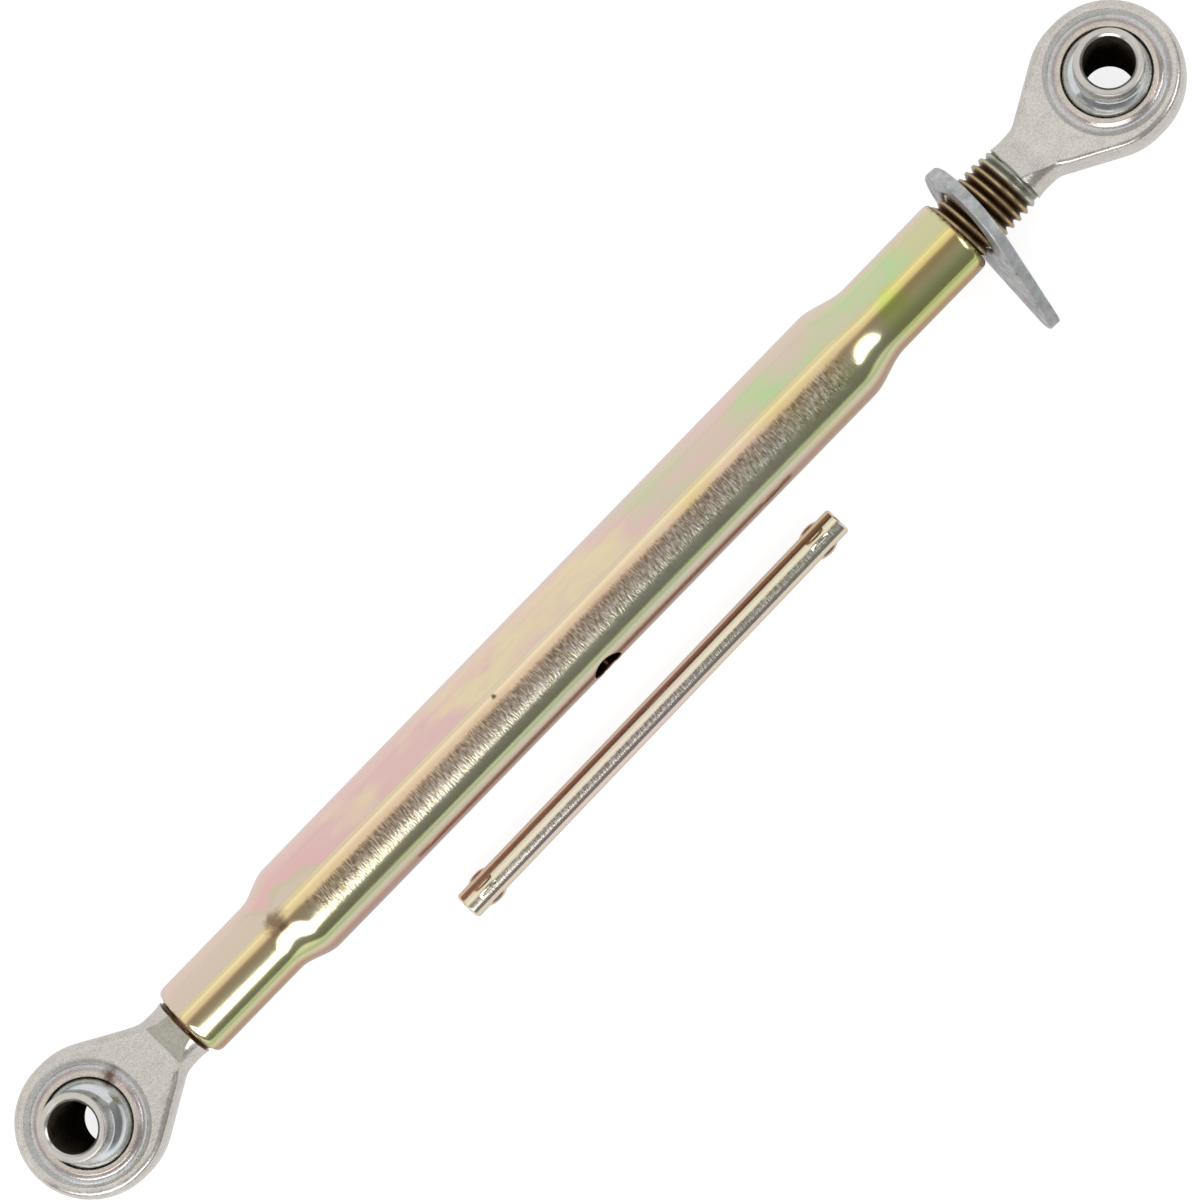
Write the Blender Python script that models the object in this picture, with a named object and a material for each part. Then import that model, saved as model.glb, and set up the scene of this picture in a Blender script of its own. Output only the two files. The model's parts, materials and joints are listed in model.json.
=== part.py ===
"""Tractor top link: a swaged barrel, two ball ends on opposite-hand screws, a lock lever and a tommy bar.

Metres, +Z up. The link lies on its side along X, on its two balls and the tail of its lock lever. The
origin is on the surface below, at the middle of the whole set. +X points to the end with the lever.
"""

import math

import bmesh
import bpy
from mathutils import Vector

# Barrel
BARREL_LENGTH = 0.4064
BARREL_RADIUS = 0.0200
SWAGED_RADIUS = 0.0158
SWAGED_LENGTH = 0.0435
LOWER_SHOULDER = 0.0165
UPPER_SHOULDER = 0.0205
RIM_LENGTH = 0.0030
RIM_FLAT = 0.0004
BARREL_BORE_RADIUS = 0.0162
CROSS_HOLE_RADIUS = 0.0066
CROSS_HOLE_RISE = math.radians(10)

# Screws, one left-hand and one right-hand
THREAD_RADIUS = 0.0135
THREAD_DEPTH = 0.0022
THREAD_PITCH = 0.0036
THREAD_LENGTH = 0.1400
THREAD_LEAD_IN = 1.25
THREAD_RUNOUT = 0.0030
THREAD_CLEARANCE = 0.0003

# Forged eyes
EYE_RADIUS = 0.0284
EYE_STRETCH = 0.0025
EYE_THICKNESS = 0.0166
EYE_TAPER = math.radians(30)
NECK_LENGTH = 0.0495
NECK_RADIUS = 0.0121
SHOULDER_RADIUS = 0.0126
NECK_EASE = 0.0013
NECK_MARGIN = 0.0004
NECK_BLEND_RUN = 0.0160
NECK_BLEND_RISE = 0.0094
NECK_ROUND_LENGTH = 0.0065
RAMP_LENGTH = 0.0100
RAMP_SLOPE = math.radians(18.4)
DISH_INNER_RADIUS = 0.0192
DISH_OUTER_RADIUS = 0.0233
DISH_DEPTH = 0.0013

# Balls, sized for a 19 mm pin
BALL_RADIUS = 0.0183
BALL_WIDTH = 0.0440
COLLAR_RADIUS = 0.0130
COLLAR_CHAMFER = 0.0006
PIN_BORE_RADIUS = 0.0097
BORE_CHAMFER = 0.0010
SEAT_CLEARANCE = 0.0003

# How each ball lies in its eye: the lean of its bore, and the direction it leans to
LOWER_LEAN = math.radians(9.5)
LOWER_LEAN_TOWARDS = math.radians(152)
UPPER_LEAN = math.radians(7.5)
UPPER_LEAN_TOWARDS = math.radians(45)

# How far each eye is rolled about its screw
LOWER_ROLL = 0
UPPER_ROLL = math.radians(8)

# Lock lever, a loose plate nut that leans on the upper screw
LEVER_HUB_RADIUS = 0.0231
LEVER_TIP_RADIUS = 0.0060
LEVER_REACH = 0.0460
LEVER_THICKNESS = 0.0048
LEVER_EDGE = 0.0006
LEVER_LEAN = math.radians(7)
LEVER_SWING = math.radians(-4)
LEVER_CLEARANCE = 0.0008

# Where the screws stand in the barrel
LOWER_GAP = 0.0024
LEVER_GAP = 0.0050
THREAD_SHOWING = 0.0207

# Tommy bar, lying beside the barrel
BAR_LENGTH = 0.1990
BAR_RADIUS = 0.0057
BAR_CHAMFER = 0.0008
BAR_OFFSET = 0.0420
BAR_SHIFT = -0.0020
BAR_SKEW = math.radians(0.55)
LUG_REACH = 0.0068
LUG_LENGTH = 0.0090
LUG_WIDTH = 0.0034
LUG_INSET = 0.0107
LUGS_AROUND = 4

REST_CLEARANCE = 0.0003

# Fineness of the round shapes
BARREL_SIDES = 40
BALL_SIDES = 36
THREAD_SIDES = 14
BAR_SIDES = 20
HOLE_SIDES = 24
LUG_SIDES = 10
RIM_STEPS = 4
SHOULDER_STEPS = 6
NECK_STEPS = 12
ARC_STEP = math.radians(12)
SMOOTH_ANGLE = math.radians(35)
BEVEL_ANGLE = math.radians(50)
SAME_POINT = 1e-6


def clear_scene():
    for item in list(bpy.data.objects):
        bpy.data.objects.remove(item, do_unlink=True)


def metal(name, colour, roughness):
    material = bpy.data.materials.new(name)
    material.use_nodes = True
    shader = material.node_tree.nodes["Principled BSDF"]
    shader.inputs["Base Color"].default_value = (*colour, 1.0)
    shader.inputs["Roughness"].default_value = roughness
    shader.inputs["Metallic"].default_value = 1.0
    return material


def add_object(name, shape, parent=None, place=(0, 0, 0), turn=(0, 0, 0), material=None):
    """Puts a bmesh into the scene as an object with smooth round faces."""
    mesh = bpy.data.meshes.new(name)
    shape.to_mesh(mesh)
    shape.free()
    mesh.shade_smooth()
    mesh.set_sharp_from_angle(angle=SMOOTH_ANGLE)
    if material:
        mesh.materials.append(material)
    item = bpy.data.objects.new(name, mesh)
    bpy.context.collection.objects.link(item)
    item.parent = parent
    item.location = place
    item.rotation_euler = turn
    return item


def add_empty(name, parent=None, place=(0, 0, 0)):
    empty = bpy.data.objects.new(name, None)
    bpy.context.collection.objects.link(empty)
    empty.parent = parent
    empty.location = place
    return empty


def combine(target, operation, name, shape, **placing):
    """Adds, cuts or intersects a shape that is hidden and moves with the target."""
    tool = add_object(name, shape, target, **placing)
    tool.hide_render = True
    tool.display_type = "WIRE"
    modifier = target.modifiers.new(name, "BOOLEAN")
    modifier.operation = operation
    modifier.solver = "EXACT"
    modifier.object = tool


def arc(centre, radius, start, end):
    """Points along an arc, both ends included."""
    steps = max(2, math.ceil(abs(end - start) / ARC_STEP))
    return [
        (
            centre[0] + radius * math.cos(start + (end - start) * step / steps),
            centre[1] + radius * math.sin(start + (end - start) * step / steps),
        )
        for step in range(steps + 1)
    ]


def turned(profile, sides):
    """A solid of revolution about Z from (radius, height) points. A ring's profile is closed by itself."""
    shape = bmesh.new()
    corners = [shape.verts.new((radius, 0, height)) for radius, height in profile]
    edges = [shape.edges.new(pair) for pair in zip(corners, corners[1:])]
    if profile[0][0] > 0:
        edges.append(shape.edges.new((corners[-1], corners[0])))
    bmesh.ops.spin(
        shape,
        geom=corners + edges,
        axis=(0, 0, 1),
        cent=(0, 0, 0),
        angle=math.tau,
        steps=sides,
        use_merge=True,
    )
    bmesh.ops.remove_doubles(shape, verts=shape.verts, dist=SAME_POINT)
    bmesh.ops.recalc_face_normals(shape, faces=shape.faces)
    return shape


def slab(outline, thickness, across=(1, 0, 0), along=(0, 1, 0)):
    """A flat outline extruded evenly to both sides of the plane that across and along span."""
    across, along = Vector(across), Vector(along)
    normal = across.cross(along)
    shape = bmesh.new()
    corners = [
        shape.verts.new(across * u + along * v - normal * thickness / 2)
        for u, v in outline
    ]
    face = shape.faces.new(corners)
    raised = bmesh.ops.extrude_face_region(shape, geom=[face])["geom"]
    lifted = [item for item in raised if isinstance(item, bmesh.types.BMVert)]
    bmesh.ops.translate(shape, verts=lifted, vec=normal * thickness)
    bmesh.ops.recalc_face_normals(shape, faces=shape.faces)
    return shape


def mirrored_outline(half):
    """A closed outline from its upper half, mirrored about the first axis."""
    return half + [(u, -v) for u, v in reversed(half) if abs(v) > SAME_POINT]


def eased(start, end, share):
    """A smooth step from one value to another."""
    return start + (end - start) * (1 - math.cos(math.pi * share)) / 2


def barrel_half(shoulder):
    """One half of the barrel's wall, as (radius, distance from the end): outside, then bore."""
    tapped = THREAD_RADIUS + THREAD_CLEARANCE
    mouth = tapped + RIM_FLAT
    quarter = [math.pi / 2 * step / RIM_STEPS for step in range(RIM_STEPS + 1)]
    outside = [
        (
            mouth + (SWAGED_RADIUS - mouth) * math.sin(angle),
            RIM_LENGTH * (1 - math.cos(angle)),
        )
        for angle in quarter
    ]
    inside = [(tapped, 0)]
    for step in range(SHOULDER_STEPS + 1):
        share = step / SHOULDER_STEPS
        depth = SWAGED_LENGTH + shoulder * share
        outside.append((eased(SWAGED_RADIUS, BARREL_RADIUS, share), depth))
        inside.append((eased(tapped, BARREL_BORE_RADIUS, share), depth))
    return outside, inside


def barrel_shape():
    """The tube's wall: swaged and tapped ends with round rims, and a wider middle."""
    half = BARREL_LENGTH / 2
    upper_outside, upper_inside = barrel_half(UPPER_SHOULDER)
    lower_outside, lower_inside = barrel_half(LOWER_SHOULDER)
    profile = [(radius, half - depth) for radius, depth in upper_outside]
    profile += [(radius, depth - half) for radius, depth in reversed(lower_outside)]
    profile += [(radius, depth - half) for radius, depth in lower_inside]
    profile += [(radius, half - depth) for radius, depth in reversed(upper_inside)]
    return turned(profile, BARREL_SIDES)


def make_barrel(link, material):
    """The tube and its cross hole, whose end beside the tommy bar is the higher one."""
    barrel = add_object(
        "barrel", barrel_shape(), link, (BARREL_X, 0, 0), (0, math.pi / 2, 0), material
    )
    hole = turned(
        [
            (0, 2 * BARREL_RADIUS),
            (CROSS_HOLE_RADIUS, 2 * BARREL_RADIUS),
            (CROSS_HOLE_RADIUS, -2 * BARREL_RADIUS),
            (0, -2 * BARREL_RADIUS),
        ],
        HOLE_SIDES,
    )
    combine(barrel, "DIFFERENCE", "cross_hole", hole, turn=(math.pi / 2, 0, -CROSS_HOLE_RISE))


def helix(length, hand):
    """A rod with a V thread: a crest line and a root line climb one pitch each turn, with faces between."""
    turns = math.ceil(length / THREAD_PITCH + 2 * THREAD_LEAD_IN)
    steps = turns * THREAD_SIDES
    shape = bmesh.new()
    lines = []
    for radius, lead in ((THREAD_RADIUS, 0), (THREAD_RADIUS - THREAD_DEPTH, 0.5)):
        line = []
        for step in range(steps + 1):
            angle = hand * math.tau * step / THREAD_SIDES
            height = THREAD_PITCH * (step / THREAD_SIDES + lead - THREAD_LEAD_IN)
            place = (radius * math.cos(angle), radius * math.sin(angle), height)
            line.append(shape.verts.new(place))
        lines.append(line)
    crest, root = lines
    for step in range(steps):
        shape.faces.new((crest[step], crest[step + 1], root[step + 1], root[step]))
    for step in range(steps - THREAD_SIDES):
        above = step + THREAD_SIDES
        shape.faces.new((root[step], root[step + 1], crest[above + 1], crest[above]))
    first = crest[: THREAD_SIDES + 1] + [root[0]]
    last = root[-THREAD_SIDES - 1 :] + [crest[-1]]
    for rim in (first, last):
        height = sum(corner.co.z for corner in rim) / len(rim)
        tip = shape.verts.new((0, 0, height))
        for one, other in zip(rim, rim[1:] + rim[:1]):
            shape.faces.new((one, other, tip))
    bmesh.ops.recalc_face_normals(shape, faces=shape.faces)
    return shape


def screw_blank():
    """The turned outline that the thread is cut in: pointed inside, and run out into the neck."""
    outside = THREAD_RADIUS + THREAD_CLEARANCE
    root = THREAD_RADIUS - THREAD_DEPTH
    return turned(
        [
            (0, THREAD_LENGTH),
            (root, THREAD_LENGTH),
            (outside, THREAD_LENGTH + root - outside),
            (outside, THREAD_RUNOUT),
            (root, -THREAD_DEPTH),
            (0, -THREAD_DEPTH),
        ],
        BALL_SIDES,
    )


def neck_width(along):
    """Half the width of the forging at a distance from the eye: the flank eased into the neck."""
    touch = EYE_RADIUS + EYE_STRETCH * math.sin(EYE_TAPER)
    flank = (touch - along * math.sin(EYE_TAPER)) / math.cos(EYE_TAPER)
    return (flank + NECK_RADIUS + math.hypot(flank - NECK_RADIUS, NECK_EASE)) / 2


def eye_outline():
    """The eye seen from above: a round head, stretched a little towards the neck, and eased flanks."""
    tangent = math.pi / 2 - EYE_TAPER
    foot = EYE_STRETCH + EYE_RADIUS * math.cos(tangent)
    half = [(NECK_LENGTH, SHOULDER_RADIUS + NECK_MARGIN)]
    for step in range(1, NECK_STEPS):
        along = NECK_LENGTH + (foot - NECK_LENGTH) * step / NECK_STEPS
        half.append((along, neck_width(along) + NECK_MARGIN * (1 - step / NECK_STEPS)))
    half += arc((EYE_STRETCH, 0), EYE_RADIUS, tangent, math.pi / 2)
    half += arc((0, 0), EYE_RADIUS, math.pi / 2, math.pi)
    return mirrored_outline(half)


def eye_side():
    """The eye seen from the side: flat faces, then a ramp up to the round neck."""
    face = EYE_THICKNESS / 2
    ramp_x = NECK_LENGTH - RAMP_LENGTH
    end_x = NECK_LENGTH + RAMP_LENGTH
    end = face + (end_x - ramp_x) * math.tan(RAMP_SLOPE)
    return mirrored_outline([(end_x, end), (ramp_x, face), (-2 * EYE_RADIUS, face)])


def neck_envelope():
    """The round neck: it widens in a curve towards the eye, where it leaves the flat faces alone."""
    blend_x = NECK_LENGTH - NECK_ROUND_LENGTH
    run = blend_x + 2 * EYE_RADIUS
    profile = [(0, NECK_LENGTH + RAMP_LENGTH), (SHOULDER_RADIUS, NECK_LENGTH + RAMP_LENGTH)]
    profile += [(SHOULDER_RADIUS, NECK_LENGTH)]
    for step in range(NECK_STEPS + 1):
        back = run * (step / NECK_STEPS) ** 2
        rise = NECK_BLEND_RISE * (back / NECK_BLEND_RUN) ** 2
        profile.append((neck_width(blend_x - back) + rise, blend_x - back))
    profile.append((0, blend_x - run))
    return turned(profile, BARREL_SIDES)


def dish_rings():
    """The two rings pressed into the faces when the ball was swaged in."""
    face = EYE_THICKNESS / 2
    middle = (DISH_INNER_RADIUS + DISH_OUTER_RADIUS) / 2
    above = face + DISH_DEPTH
    ring = [
        (DISH_INNER_RADIUS, above),
        (DISH_OUTER_RADIUS, above),
        (DISH_OUTER_RADIUS, face),
        (middle, face - DISH_DEPTH),
        (DISH_INNER_RADIUS, face),
    ]
    shape = turned(ring, BALL_SIDES)
    below = bmesh.ops.duplicate(shape, geom=shape.verts[:] + shape.edges[:] + shape.faces[:])
    flipped = [item for item in below["geom"] if isinstance(item, bmesh.types.BMVert)]
    bmesh.ops.scale(shape, verts=flipped, vec=(1, 1, -1))
    bmesh.ops.recalc_face_normals(shape, faces=shape.faces)
    return shape


def seat_shape():
    """The hollow for the ball: a sphere a little larger than it."""
    radius = BALL_RADIUS + SEAT_CLEARANCE
    profile = arc((0, 0), radius, math.pi / 2, -math.pi / 2)
    profile[0] = (0, radius)
    profile[-1] = (0, -radius)
    return turned(profile, BALL_SIDES)


def make_end(name, link, place, turn, hand, material):
    """A forged eye and its screw in one piece, with its origin at the middle of the eye."""
    end = add_object(name, slab(eye_outline(), 4 * NECK_RADIUS), link, (place, 0, 0), turn, material)
    side = slab(eye_side(), 4 * EYE_RADIUS, across=(1, 0, 0), along=(0, 0, 1))
    combine(end, "INTERSECT", name + "_side", side)
    combine(end, "INTERSECT", name + "_neck", neck_envelope(), turn=(0, math.pi / 2, 0))
    screw = add_object(
        name + "_screw", helix(THREAD_LENGTH, hand), end, (NECK_LENGTH, 0, 0), (0, math.pi / 2, 0)
    )
    screw.hide_render = True
    screw.display_type = "WIRE"
    combine(screw, "INTERSECT", name + "_blank", screw_blank())
    union = end.modifiers.new("screw", "BOOLEAN")
    union.operation = "UNION"
    union.solver = "EXACT"
    union.object = screw
    combine(end, "DIFFERENCE", name + "_seat", seat_shape())
    combine(end, "DIFFERENCE", name + "_dish", dish_rings())


def ball_shape():
    """A ball with a collar on each side and a bore through it."""
    half = BALL_WIDTH / 2
    edge = math.acos(COLLAR_RADIUS / BALL_RADIUS)
    profile = [
        (PIN_BORE_RADIUS, half - BORE_CHAMFER),
        (PIN_BORE_RADIUS + BORE_CHAMFER, half),
        (COLLAR_RADIUS - COLLAR_CHAMFER, half),
        (COLLAR_RADIUS, half - COLLAR_CHAMFER),
    ]
    profile += arc((0, 0), BALL_RADIUS, edge, -edge)
    profile += [(radius, -height) for radius, height in reversed(profile[:4])]
    return turned(profile, BALL_SIDES)


def make_ball(name, link, place, lean, towards, material):
    """A ball in its eye, leaning from upright towards a direction in the plan."""
    ball = add_object(name, ball_shape(), link, (place, 0, 0), material=material)
    ball.rotation_mode = "AXIS_ANGLE"
    ball.rotation_axis_angle = (lean, -math.sin(towards), math.cos(towards), 0)


def lever_outline():
    """Two circles of different size and the tangents between them, hub at the origin and tip at +X."""
    lift = math.asin((LEVER_HUB_RADIUS - LEVER_TIP_RADIUS) / LEVER_REACH)
    meet = math.pi / 2 - lift
    half = arc((LEVER_REACH, 0), LEVER_TIP_RADIUS, 0, meet)
    half += arc((0, 0), LEVER_HUB_RADIUS, meet, math.pi)
    return mirrored_outline(half)


def make_lever(link, material):
    """The plate nut, its origin on the screw's axis, its top leaning to +X and its tail down on the surface."""
    plate = slab(lever_outline(), LEVER_THICKNESS, across=(0, -1, 0), along=(0, 0, 1))
    foot = LEVER_TIP_RADIUS + math.sin(LEVER_LEAN) * LEVER_THICKNESS / 2 + REST_CLEARANCE
    droop = math.asin((LINK_HEIGHT - foot) / math.cos(LEVER_LEAN) / LEVER_REACH)
    turn = (droop, LEVER_LEAN, LEVER_SWING)
    lever = add_object("lock_lever", plate, link, (LEVER_X, 0, 0), turn, material)
    edge = lever.modifiers.new("rounded_edge", "BEVEL")
    edge.width = LEVER_EDGE
    edge.segments = 2
    edge.limit_method = "ANGLE"
    edge.angle_limit = BEVEL_ANGLE
    bore_radius = THREAD_RADIUS + LEVER_CLEARANCE
    bore = turned(
        [
            (0, LEVER_THICKNESS),
            (bore_radius, LEVER_THICKNESS),
            (bore_radius, -LEVER_THICKNESS),
            (0, -LEVER_THICKNESS),
        ],
        BARREL_SIDES,
    )
    combine(lever, "DIFFERENCE", "lever_bore", bore, turn=(0, math.pi / 2, 0))


def lug_shape():
    """A low ridge raised by a chisel, longer than it is wide."""
    shape = bmesh.new()
    bmesh.ops.create_uvsphere(shape, u_segments=LUG_SIDES, v_segments=LUG_SIDES // 2 + 1, radius=1)
    size = (LUG_WIDTH / 2, LUG_REACH - BAR_RADIUS / 2, LUG_LENGTH / 2)
    bmesh.ops.scale(shape, verts=shape.verts, vec=size)
    return shape


def make_bar(link, material):
    """The loose tommy bar, its origin at its middle, with a ring of raised lugs near each end."""
    half = BAR_LENGTH / 2
    profile = [
        (0, half),
        (BAR_RADIUS - BAR_CHAMFER, half),
        (BAR_RADIUS, half - BAR_CHAMFER),
        (BAR_RADIUS, BAR_CHAMFER - half),
        (BAR_RADIUS - BAR_CHAMFER, -half),
        (0, -half),
    ]
    place = (BARREL_X + BAR_SHIFT, -BAR_OFFSET, LUG_REACH - LINK_HEIGHT)
    turn = (0, math.pi / 2, BAR_SKEW)
    bar = add_object("tommy_bar", turned(profile, BAR_SIDES), link, place, turn, material)
    for end in (-1, 1):
        for index in range(LUGS_AROUND):
            angle = math.tau * index / LUGS_AROUND
            out = BAR_RADIUS / 2
            spot = (-out * math.sin(angle), out * math.cos(angle), end * (half - LUG_INSET))
            name = f"lug_{'upper' if end > 0 else 'lower'}_{index + 1}"
            combine(bar, "UNION", name, lug_shape(), place=spot, turn=(0, 0, angle))


def rest_height(lean):
    """How far a leaning ball's lowest edge is below its middle."""
    half = BALL_WIDTH / 2
    flat = half * math.cos(lean) + (COLLAR_RADIUS - COLLAR_CHAMFER) * math.sin(lean)
    side = (half - COLLAR_CHAMFER) * math.cos(lean) + COLLAR_RADIUS * math.sin(lean)
    return max(flat, side)


# Places worked out from the sizes above. The two eyes are equally far from the origin.
LOWER_REACH = BARREL_LENGTH / 2 + LOWER_GAP + NECK_LENGTH
UPPER_REACH = BARREL_LENGTH / 2 + LEVER_GAP + LEVER_THICKNESS + THREAD_SHOWING + NECK_LENGTH
EYE_X = (LOWER_REACH + UPPER_REACH) / 2
BARREL_X = LOWER_REACH - EYE_X
LEVER_X = BARREL_X + BARREL_LENGTH / 2 + LEVER_GAP + LEVER_THICKNESS / 2
LINK_HEIGHT = max(rest_height(LOWER_LEAN), rest_height(UPPER_LEAN))
BAR_SWING = (BAR_LENGTH / 2 - LUG_INSET) * math.sin(BAR_SKEW)
ROLLED_HALF_WIDTH = EYE_RADIUS * math.cos(UPPER_ROLL) + EYE_THICKNESS / 2 * math.sin(UPPER_ROLL)
LINK_Y = (BAR_OFFSET + BAR_SWING + LUG_REACH - ROLLED_HALF_WIDTH) / 2


def main():
    clear_scene()
    yellow_zinc = metal("yellow_zinc", (0.62, 0.58, 0.36), 0.32)
    clear_zinc = metal("clear_zinc", (0.62, 0.60, 0.57), 0.40)
    bright_zinc = metal("bright_zinc", (0.70, 0.72, 0.74), 0.18)
    grey_zinc = metal("grey_zinc", (0.58, 0.59, 0.60), 0.45)
    link = add_empty("link", place=(0, LINK_Y, LINK_HEIGHT))
    make_barrel(link, yellow_zinc)
    make_end("lower_end", link, -EYE_X, (LOWER_ROLL, 0, 0), -1, clear_zinc)
    make_end("upper_end", link, EYE_X, (UPPER_ROLL, 0, math.pi), 1, clear_zinc)
    make_ball("lower_ball", link, -EYE_X, LOWER_LEAN, LOWER_LEAN_TOWARDS, bright_zinc)
    make_ball("upper_ball", link, EYE_X, UPPER_LEAN, UPPER_LEAN_TOWARDS, bright_zinc)
    make_lever(link, grey_zinc)
    make_bar(link, yellow_zinc)


main()
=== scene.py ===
# %% [markdown]
# # A tractor's top link, dressed for its photograph
#
# The link joins a tractor to the top of an implement. A steel tube, the barrel, is tapped left-hand
# at one end and right-hand at the other, so turning it pushes both ball ends out or pulls them in.
# A plate nut with a tail locks it, and a loose tommy bar goes through a hole in it to turn it.
#
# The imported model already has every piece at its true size. This script gives each piece a fine
# surface, worked out with numpy, and a finish made of nodes, and it leaves the model where it is.

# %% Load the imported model
import json
import math

import bmesh
import bpy
import numpy as np
from mathutils import Euler, Matrix, Vector


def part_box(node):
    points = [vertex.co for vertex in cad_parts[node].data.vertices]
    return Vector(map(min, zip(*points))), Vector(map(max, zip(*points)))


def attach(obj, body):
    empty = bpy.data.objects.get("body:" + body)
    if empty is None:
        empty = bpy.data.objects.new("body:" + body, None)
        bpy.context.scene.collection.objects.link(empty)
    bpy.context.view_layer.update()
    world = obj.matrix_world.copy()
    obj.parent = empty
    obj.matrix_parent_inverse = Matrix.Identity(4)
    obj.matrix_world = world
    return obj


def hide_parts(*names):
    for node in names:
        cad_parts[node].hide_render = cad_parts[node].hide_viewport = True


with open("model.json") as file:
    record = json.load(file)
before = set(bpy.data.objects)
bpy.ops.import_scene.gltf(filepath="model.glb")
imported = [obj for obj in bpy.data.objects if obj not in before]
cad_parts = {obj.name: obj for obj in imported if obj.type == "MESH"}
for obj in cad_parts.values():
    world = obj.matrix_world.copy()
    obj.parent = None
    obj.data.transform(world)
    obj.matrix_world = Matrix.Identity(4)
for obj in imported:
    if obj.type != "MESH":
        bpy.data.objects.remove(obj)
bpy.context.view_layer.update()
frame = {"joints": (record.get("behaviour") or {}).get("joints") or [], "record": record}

MM = 0.001
TURN = 2 * math.pi

# %% [markdown]
# ## Where things are
#
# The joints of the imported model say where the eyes, the lever and the screws' axis lie, and the flat
# faces on the balls say which way each bore points. Reading them here means that nothing has to be
# measured twice.

# %% Places, read from the model
joints = {joint["name"]: joint for joint in frame["joints"]}
mounts = {mount["name"]: mount for mount in frame["record"]["mounts"]}
LOWER_EYE = np.array(joints["lower_ball_tilt"]["pos_m"])
UPPER_EYE = np.array(joints["upper_ball_tilt"]["pos_m"])
LEVER_MIDDLE = np.array(joints["lock_turn"]["pos_m"])
LOWER_BORE = np.array(mounts["lower_ball_top_face"]["axis"])
UPPER_BORE = np.array(mounts["upper_ball_top_face"]["axis"])
barrel_low, barrel_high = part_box("barrel")
BARREL_MIDDLE = np.array([(barrel_low.x + barrel_high.x) / 2, *LEVER_MIDDLE[1:]])
BARREL_HALF = (barrel_high.x - barrel_low.x) / 2
BARREL_RADIUS = (barrel_high.z - barrel_low.z) / 2
ALONG = np.array([1.0, 0.0, 0.0])
UP = np.array([0.0, 0.0, 1.0])
print("barrel", 2 * BARREL_HALF, "long, eyes", UPPER_EYE[0] - LOWER_EYE[0], "apart")

# %% [markdown]
# ## The camera
#
# The photograph was taken from almost straight above through a long lens, with the link lying from
# the lower left to the upper right. The camera stands where the two eyes, the two bores and the ends
# of the barrel all fall on their places in the picture. Two of its axes are written as vectors, which
# is easier to read than angles, and the third is square to both.

# %% Camera
PICTURE_SIDE = 1200
FOCAL_PIXELS = 6000
CAMERA_PLACE = Vector((0.0648, -0.1971, 2.2260))
CAMERA_RIGHT = Vector((0.6973, -0.7114, -0.0872))
CAMERA_BACK = Vector((0.0289, -0.0937, 0.9952))
SENSOR = 36.0


def make_camera():
    """A camera whose own X, Y and Z axes are right, up and back: up = back x right."""
    back = CAMERA_BACK.normalized()
    up = back.cross(CAMERA_RIGHT).normalized()
    right = up.cross(back)
    lens = bpy.data.cameras.new("camera")
    lens.sensor_width = SENSOR
    lens.lens = SENSOR * FOCAL_PIXELS / PICTURE_SIDE
    camera = bpy.data.objects.new("camera", lens)
    turn = Matrix((right, up, back)).transposed().to_4x4()
    camera.matrix_world = Matrix.Translation(CAMERA_PLACE) @ turn
    bpy.context.scene.collection.objects.link(camera)
    bpy.context.scene.camera = camera
    print("camera lens", round(lens.lens, 1), "mm, at", tuple(CAMERA_PLACE))


make_camera()

# %% [markdown]
# ## Node helpers
#
# Every finish below is a small graph of nodes. Writing each node by hand would drown the recipe in
# bookkeeping, so a few helpers make a node, feed its inputs and hand back its output. An input may be
# a number, a colour or the output of another node.


# %% Nodes, arithmetic and colours
def feed(tree, node, inputs):
    """Sets a node's inputs to plain values, or links them to the outputs of other nodes."""
    for name, value in inputs.items():
        if isinstance(value, bpy.types.NodeSocket):
            tree.links.new(value, node.inputs[name])
        else:
            node.inputs[name].default_value = value


def add(tree, kind, inputs=None, output=0, **settings):
    """Makes a node, feeds its inputs, and returns one of its outputs, given by name or number."""
    node = tree.nodes.new("ShaderNode" + kind)
    for name, value in settings.items():
        setattr(node, name, value)
    feed(tree, node, inputs or {})
    return node.outputs[output]


def calc(tree, operation, *values):
    """One step of arithmetic on numbers or outputs."""
    return add(tree, "Math", dict(enumerate(values)), operation=operation)


def opaque(colour):
    """A plain colour with its fourth value, or the output of a node as it is."""
    return colour if isinstance(colour, bpy.types.NodeSocket) else (*colour, 1.0)


def blend(tree, share, first, second, how="MIX"):
    """A colour between two colours, where share 0 is the first and 1 the second.

    The Mix node keeps its colours at inputs 6 and 7, and the mixed colour at output 2.
    """
    inputs = {0: share, 6: opaque(first), 7: opaque(second)}
    return add(tree, "Mix", inputs, output=2, data_type="RGBA", blend_type=how)


def ramp(tree, share, stops):
    """A colour read from a row of (place, colour) stops, where a single number is a grey."""
    node = tree.nodes.new("ShaderNodeValToRGB")
    band = node.color_ramp
    while len(band.elements) < len(stops):
        band.elements.new(1.0)
    for element, (place, colour) in zip(band.elements, stops):
        element.position = place
        element.color = opaque(colour if isinstance(colour, tuple) else (colour, colour, colour))
    feed(tree, node, {0: share})
    return node.outputs[0]


# %% Ranges and noise
def spread(tree, value, low, high, to_low=0.0, to_high=1.0):
    """Maps a value from one range to another, with an easy start, and stops at the ends."""
    inputs = {"Value": value, "From Min": low, "From Max": high, "To Min": to_low, "To Max": to_high}
    return add(tree, "MapRange", inputs, interpolation_type="SMOOTHSTEP")


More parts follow.
